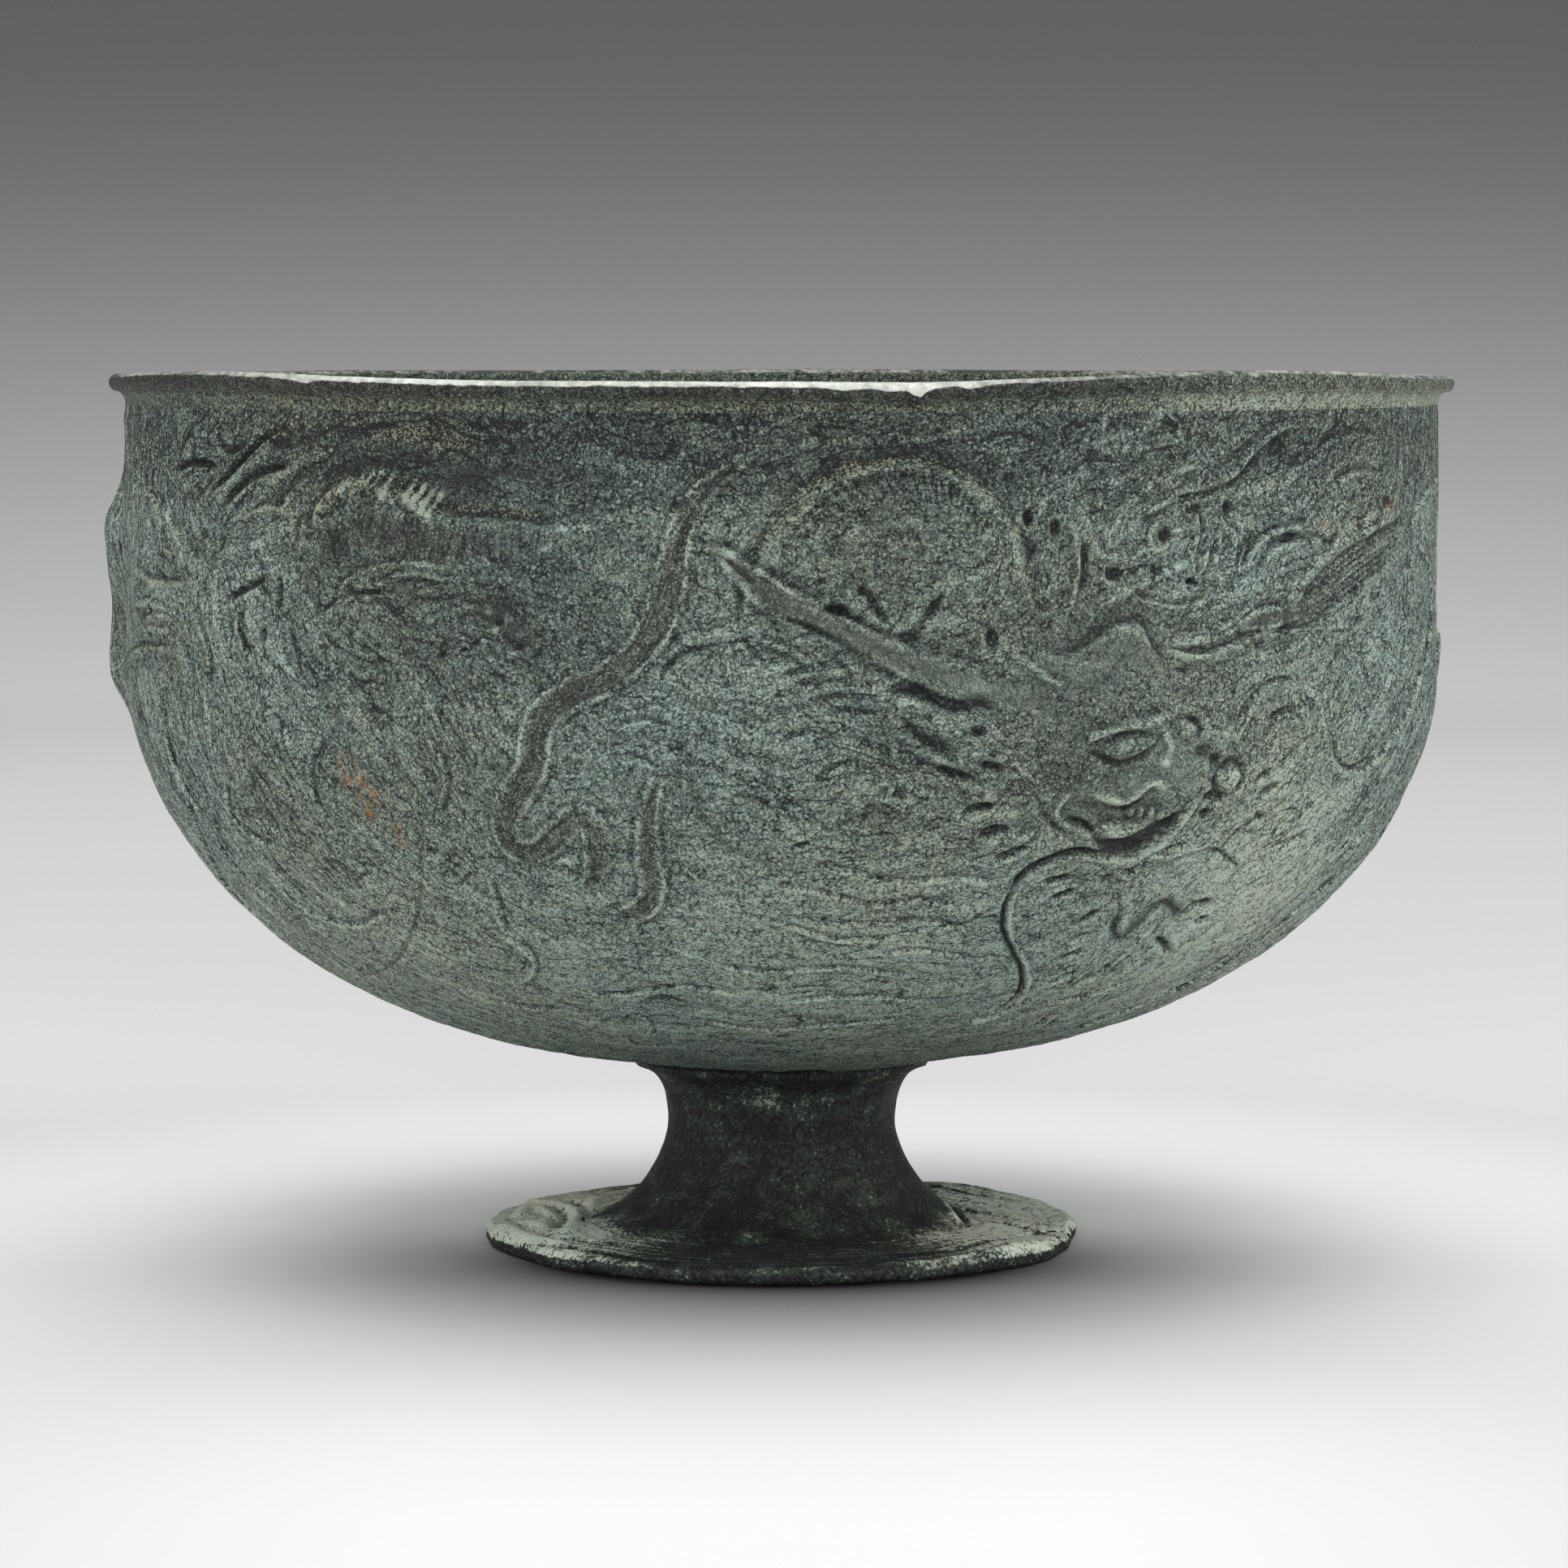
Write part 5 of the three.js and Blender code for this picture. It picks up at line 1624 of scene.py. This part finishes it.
ring_feeds = {"Vector": bowl_place, "Scale": 260.0, "Distortion": 5.0, "Detail": 3.0, "Detail Scale": 2.0}
turning_rings = put(bowl_tree, "ShaderNodeTexWave", ring_feeds, bands_direction="Z").outputs["Fac"]
inside_mottle = total(bowl_tree, noise(bowl_tree, bowl_place, 120.0, detail=6.0),
                      (bowl_coat.outputs["Height"], 0.3), (turning_rings, -0.08))
inside_tone = between(bowl_tree, -0.34, 0.28, inside_mottle)
inside_colour = blend(bowl_tree, inside_tone, colour(46, 45, 38), colour(108, 104, 86))
wall_colour = blend(bowl_tree, rust_share, bowl_coat.outputs["Colour"], colour(164, 114, 54))
# Stains, and painted shade in grooves, recesses and under ledges, all in one dark colour
wall_colour = blend(bowl_tree, stain_and_painted_shade_share, wall_colour, colour(30, 31, 29))
wall_colour = blend(bowl_tree, inside_share, wall_colour, inside_colour)
bowl_tree.links.new(wall_colour, bowl_tree.nodes["Principled BSDF"].inputs["Base Color"])

SECTORS = (
    ("bowl_left", 0, 252), ("bowl_front_left", 252, 504), ("bowl_front_right", 504, 756),
    ("bowl_right", 756, 1008), ("bowl_back_right", 1008, 1264), ("bowl_back_left", 1264, COLUMNS),
)
for name, first, last in SECTORS:
    sector = bowl_sector(name, first, last, bowl_bronze)
    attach(sector, "root")
    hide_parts("bowl")

# Foot rivet: a bronze pin dropped through the bowl's floor and the stem's web and hammered over below.
# Its low crowned head lies on the floor of the bowl.
RIVET_RADIUS = 2.5
RIVET_HEAD_RADIUS = 5.2
RIVET_TAIL_RADIUS = 4.2
RIVET_HEAD_HEIGHT = 1.5
RIVET_TAIL_HEIGHT = 1.3
head_top = floor_level + RIVET_HEAD_HEIGHT
tail_end = web_level - RIVET_TAIL_HEIGHT
tail_corner = (RIVET_TAIL_RADIUS, web_level)
head_corner = (RIVET_HEAD_RADIUS, floor_level)
rivet_section = (
    bend((0.0, tail_end), (RIVET_TAIL_RADIUS / 2, tail_end), (RIVET_TAIL_RADIUS, tail_end), tail_corner, 12)
    + straight((RIVET_RADIUS, web_level), (RIVET_RADIUS, floor_level), 6)
    + bend(head_corner, (RIVET_HEAD_RADIUS, head_top), (RIVET_HEAD_RADIUS / 2, head_top), (0.0, head_top), 14)
)
rivet_finish = {
    "Contrast": 0.6, "Dark": colour(30, 29, 24), "Ground": colour(80, 76, 62), "Pale": colour(128, 122, 100),
}
rivet_bronze = patinated("rivet_bronze", 0.09, rivet_finish)[0]
rivet = turned("foot_rivet_pin", rivet_section, steps=72, unevenness=0.12, dents_per_metre=420, seed=3.0,
               material=rivet_bronze)
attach(rivet, "root")
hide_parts("foot_rivet")

# Rim solder: soft solder drawn into the lap between the rim band's skirt and the wall.
# It keeps its plain turned shape, shut in between the two.
bpy.data.objects["rim_solder"].material_slots[0].material = solder

# Rim band: a turned bronze ring that caps the wall, with a skirt lapped inside it and a thin lip turned out.
# The lip's top is rubbed bright, burred by use and given a painted highlight; the hollow under it has painted
# shade.
RIM_LIP = 1.5
RIM_INNER_ROUND = 0.6
rim_low, rim_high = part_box("rim_band")
rim_level = rim_high[2] / MM
lap_level = rim_low[2] / MM
skirt_radius = inner_radius + RIM_SKIRT
lip_radius = RIM_LIP / 2
lip_centre = rim_high[0] / MM - lip_radius
cove_end = (lip_centre, rim_level - RIM_LIP)
cove_lean = (belly_radius, part_way(shoulder_level, cove_end[1], 0.5))
cove_corner = (part_way(belly_radius, lip_centre, 0.3), cove_end[1] - 0.1)
inner_round = inner_radius + RIM_INNER_ROUND
rim_section = (
    straight((inner_radius, lap_level), (skirt_radius, lap_level), 3)
    + [(skirt_radius, shoulder_level)]
    + bend((belly_radius, shoulder_level), cove_lean, cove_corner, cove_end, 10)
    + arc(lip_centre, rim_level - lip_radius, lip_radius, -80, 90, 12)
    + straight((lip_centre - 0.3, rim_level), (inner_round, rim_level), 8)
    + arc(inner_round, rim_level - RIM_INNER_ROUND, RIM_INNER_ROUND, 100, 180, 5)
    + straight((inner_radius, rim_level - 1.1), (inner_radius, lap_level + 0.5), 4)
)
rim_finish = {
    "Contrast": 1.2, "Dark": colour(16, 19, 16), "Ground": colour(74, 80, 71), "Pale": colour(160, 168, 152),
}
rim_bronze, rim_coat = patinated("rim_bronze", 0.05, rim_finish)
rim_tree = rim_bronze.node_tree
rim_place = put(rim_tree, "ShaderNodeTexCoord", {}).outputs["Object"]
rim_axes = put(rim_tree, "ShaderNodeSeparateXYZ", {0: rim_place}).outputs
rim_across = rim_axes["X"]
rim_up = maths(rim_tree, "SUBTRACT", rim_axes["Z"], mark(rim_tree, "lift"))
# A painted highlight on the lip's front, where the worn strip is also a little wider
front_painted_highlight = product(rim_tree, between(rim_tree, -0.062, -0.03, rim_across),
                  between(rim_tree, 0.03, 0.01, rim_across), between(rim_tree, 0.0, -0.03, rim_axes["Y"]))
burr_wave = noise(rim_tree, rim_place, 700.0, detail=3.0)
wear_and_highlight_level = total(rim_tree, rim_up, (burr_wave, 0.4 * MM), (front_painted_highlight, 0.15 * MM))
# The worn strip on the lip's top, coloured with wear and a painted highlight
worn = between(rim_tree, (rim_level - 0.35) * MM, (rim_level - 0.2) * MM, wear_and_highlight_level)
rim_flat = put(rim_tree, "ShaderNodeCombineXYZ", {"X": rim_across, "Y": rim_axes["Y"]}).outputs[0]
rim_reach = put(rim_tree, "ShaderNodeVectorMath", {0: rim_flat}, operation="LENGTH").outputs["Value"]
inward = between(rim_tree, (inner_round + 0.2) * MM, inner_radius * MM, rim_reach)
# Painted shade under the lip; the cove is also darker to the left and paler to the right and on the inner
# face
under_lip_painted_shade = between(rim_tree, (rim_level - 1.6) * MM, (rim_level - 1.1) * MM, rim_up)
cove_left = between(rim_tree, -0.02, -0.05, rim_across)
cove_right = between(rim_tree, 0.02, 0.045, rim_across)
cove_painted_shade_and_tone = total(rim_tree, (under_lip_painted_shade, -0.6), (cove_left, -0.1), (inward, 0.5), (cove_right, 0.6))
rim_tree.links.new(cove_painted_shade_and_tone, rim_coat.inputs["Level"])
# Painted glints vary the strip's brightness, most at the front
fine_glint = noise(rim_tree, rim_place, 1100.0, detail=3.0)
slow_glint = noise(rim_tree, rim_place, 70.0, detail=3.0)
glint = total(rim_tree, (fine_glint, 1.5), (slow_glint, 1.2), (front_painted_highlight, 0.7))
brightness = between(rim_tree, -0.2, 1.0, glint, "LINEAR")
lip_wear_and_highlight_colour = blend(rim_tree, brightness, colour(52, 58, 52), colour(232, 236, 226))
rim_colour = blend(rim_tree, worn, rim_coat.outputs["Colour"], lip_wear_and_highlight_colour)
rim_tree.links.new(rim_colour, rim_tree.nodes["Principled BSDF"].inputs["Base Color"])
rim = turned("rim_band_ring", rim_section, steps=640, unevenness=0.14, dents_per_metre=260, seed=12.0,
             material=rim_bronze)

# Burrs and a folded flap under the lip, by their places in the picture, and slow waves all round
RIM_MIDDLE = 963
RIM_REACH = 830
RIM_BURRS = ((1030, 1.0, 0.25), (1085, 1.2, 0.25), (1115, 0.7, 0.8), (1174, 0.8, 0.3), (420, 1.2, 0.25),
             (1500, 1.2, 0.2))
RIM_WAVES = ((10.5, 5, -0.2), (-54, 21, 0.7), (-12, 9, 0.05), (42, 21, 0.85), (-85, 9, 0.1), (120, 18, 0.15),
             (175, 14, 0.1), (-130, 15, 0.13))
rim_points = mesh_points(rim)
rim_angle = np.arctan2(rim_points[:, 0], -rim_points[:, 1])
lip_share = step(belly_radius, lip_centre, np.hypot(rim_points[:, 0], rim_points[:, 1]))
lip_underside = lip_share * step(rim_level - 0.6, rim_level - 1.2, rim_points[:, 2])
flap = np.zeros(len(rim_points))
for pixel, size, drop in RIM_BURRS:
    off = (rim_angle - math.asin((pixel - RIM_MIDDLE) / RIM_REACH)) * lip_centre
    flap += drop * lip_share * np.exp(-(off / size) ** 2)
top_share = step(rim_level - 1.6, rim_level - 0.5, rim_points[:, 2])
wave = (0.4 * top_share + 0.6 * lip_share) * rippled(np.degrees(rim_angle), RIM_WAVES)
rim_points[:, 2] += wave - 0.5 * flap * lip_underside
move_points(rim, rim_points)
store_mark(rim.data, "lift", (wave - flap) * MM)
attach(rim, "root")
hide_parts("rim_band")

# Floor, backdrop and lamps: a pale table top that runs up behind, under soft light from above and both sides.
# None of this is part of the cup.
FLOOR_HALF = 2.4
FLOOR_FRONT = -1.5
BACK_START = 0.7
BACK_BEND = 0.5
BACK_RISE = 1.6
SHADE_RISE = 0.178
CUP_MIDDLE = (0, 0, 0.045)
floor_paper = bpy.data.materials.new("floor_paper")
floor_paper.use_nodes = True
floor_tree = floor_paper.node_tree
floor_place = put(floor_tree, "ShaderNodeTexCoord", {}).outputs["Object"]
floor_axes = put(floor_tree, "ShaderNodeSeparateXYZ", {0: floor_place}).outputs
# Painted light: the floor is paler farther back, where the lamps' light falls off
far_floor_painted_light = between(floor_tree, 0.2, 0.8, floor_axes["Y"])
floor_tone = blend(floor_tree, far_floor_painted_light, colour(212, 212, 212), colour(238, 238, 238))
# A painted pool of light on the floor in front of the cup
off_middle = maths(floor_tree, "ABSOLUTE", floor_axes["X"])
painted_light_pool = product(floor_tree, between(floor_tree, -0.03, -0.1, floor_axes["Y"]),
               between(floor_tree, 0.07, 0.02, off_middle))
floor_tone = blend(floor_tree, painted_light_pool, floor_tone, colour(226, 226, 226))
flat_place = put(floor_tree, "ShaderNodeCombineXYZ", {"X": floor_axes["X"], "Y": floor_axes["Y"]}).outputs[0]
reach = put(floor_tree, "ShaderNodeVectorMath", {0: flat_place}, operation="LENGTH").outputs["Value"]
foot_gap = maths(floor_tree, "SUBTRACT", reach, foot_radius * MM)
# Painted light beside and behind the foot, which pales the shadow under the bowl
behind = total(floor_tree, floor_axes["Y"], (off_middle, 0.6))
painted_light_beside_foot = product(floor_tree, between(floor_tree, 0.09, 0.03, foot_gap),
                 between(floor_tree, -0.05, 0.05, behind))
floor_tone = blend(floor_tree, painted_light_beside_foot, floor_tone, colour(246, 246, 246))
# A painted contact shadow on the floor just in front of the foot
painted_contact_shadow = maths(floor_tree, "POWER", 0.37, maths(floor_tree, "DIVIDE", foot_gap, 0.014))
painted_contact_shadow = product(floor_tree, painted_contact_shadow, between(floor_tree, 0.015, -0.025, floor_axes["Y"]))
floor_tone = blend(floor_tree, painted_contact_shadow, floor_tone, colour(16, 16, 16))
# Painted shade: the backdrop darkens towards its top
low_share = between(floor_tree, SHADE_RISE, 0.005, floor_axes["Z"], "LINEAR")
low_share = maths(floor_tree, "POWER", low_share, 1.85)
floor_colour = blend(floor_tree, low_share, colour(115, 115, 115), floor_tone)
floor_tree.links.new(floor_colour, floor_tree.nodes["Principled BSDF"].inputs["Base Color"])
floor_tree.nodes["Principled BSDF"].inputs["Roughness"].default_value = 0.9
sweep = [(FLOOR_FRONT, 0.0), (BACK_START, 0.0)]
for turn in np.linspace(0.2, math.pi / 2, 8):
    sweep.append((BACK_START + BACK_BEND * math.sin(turn), BACK_BEND * (1 - math.cos(turn))))
sweep.append((BACK_START + BACK_BEND, BACK_RISE))
floor_points = [(x, y, z) for y, z in sweep for x in (-FLOOR_HALF, FLOOR_HALF)]
floor_faces = [(2 * i, 2 * i + 1, 2 * i + 3, 2 * i + 2) for i in range(len(sweep) - 1)]
floor_mesh = bpy.data.meshes.new("floor")
floor_mesh.from_pydata(floor_points, [], floor_faces)
floor_mesh.polygons.foreach_set("use_smooth", [True] * len(floor_faces))
floor_mesh.materials.append(floor_paper)
floor = bpy.data.objects.new("floor", floor_mesh)
bpy.context.scene.collection.objects.link(floor)


def lamp(name, place, size, power):
    """A soft rectangular lamp that faces the middle of the cup."""
    data = bpy.data.lights.new(name, "AREA")
    data.shape = "RECTANGLE"
    data.size, data.size_y = size
    data.energy = power
    light = bpy.data.objects.new(name, data)
    light.location = place
    light.rotation_euler = (Vector(CUP_MIDDLE) - Vector(place)).to_track_quat("-Z", "Y").to_euler()
    bpy.context.scene.collection.objects.link(light)


lamp("top_softbox", (0.0, 0.1, 0.85), size=(0.9, 0.9), power=6.2)
lamp("front_softbox", (0.0, -0.9, 0.34), size=(0.9, 0.4), power=3.15)
lamp("left_softbox", (-0.6, -0.2, 0.28), size=(0.35, 0.4), power=1.55)
lamp("right_softbox", (0.6, -0.18, 0.28), size=(0.35, 0.4), power=2.1)
world = bpy.data.worlds.new("studio")
world.use_nodes = True
sky = world.node_tree.nodes["Background"].inputs
sky["Color"].default_value = (0.8, 0.8, 0.8, 1)
sky["Strength"].default_value = 0.32
bpy.context.scene.world = world
bpy.context.scene.view_settings.view_transform = "Standard"
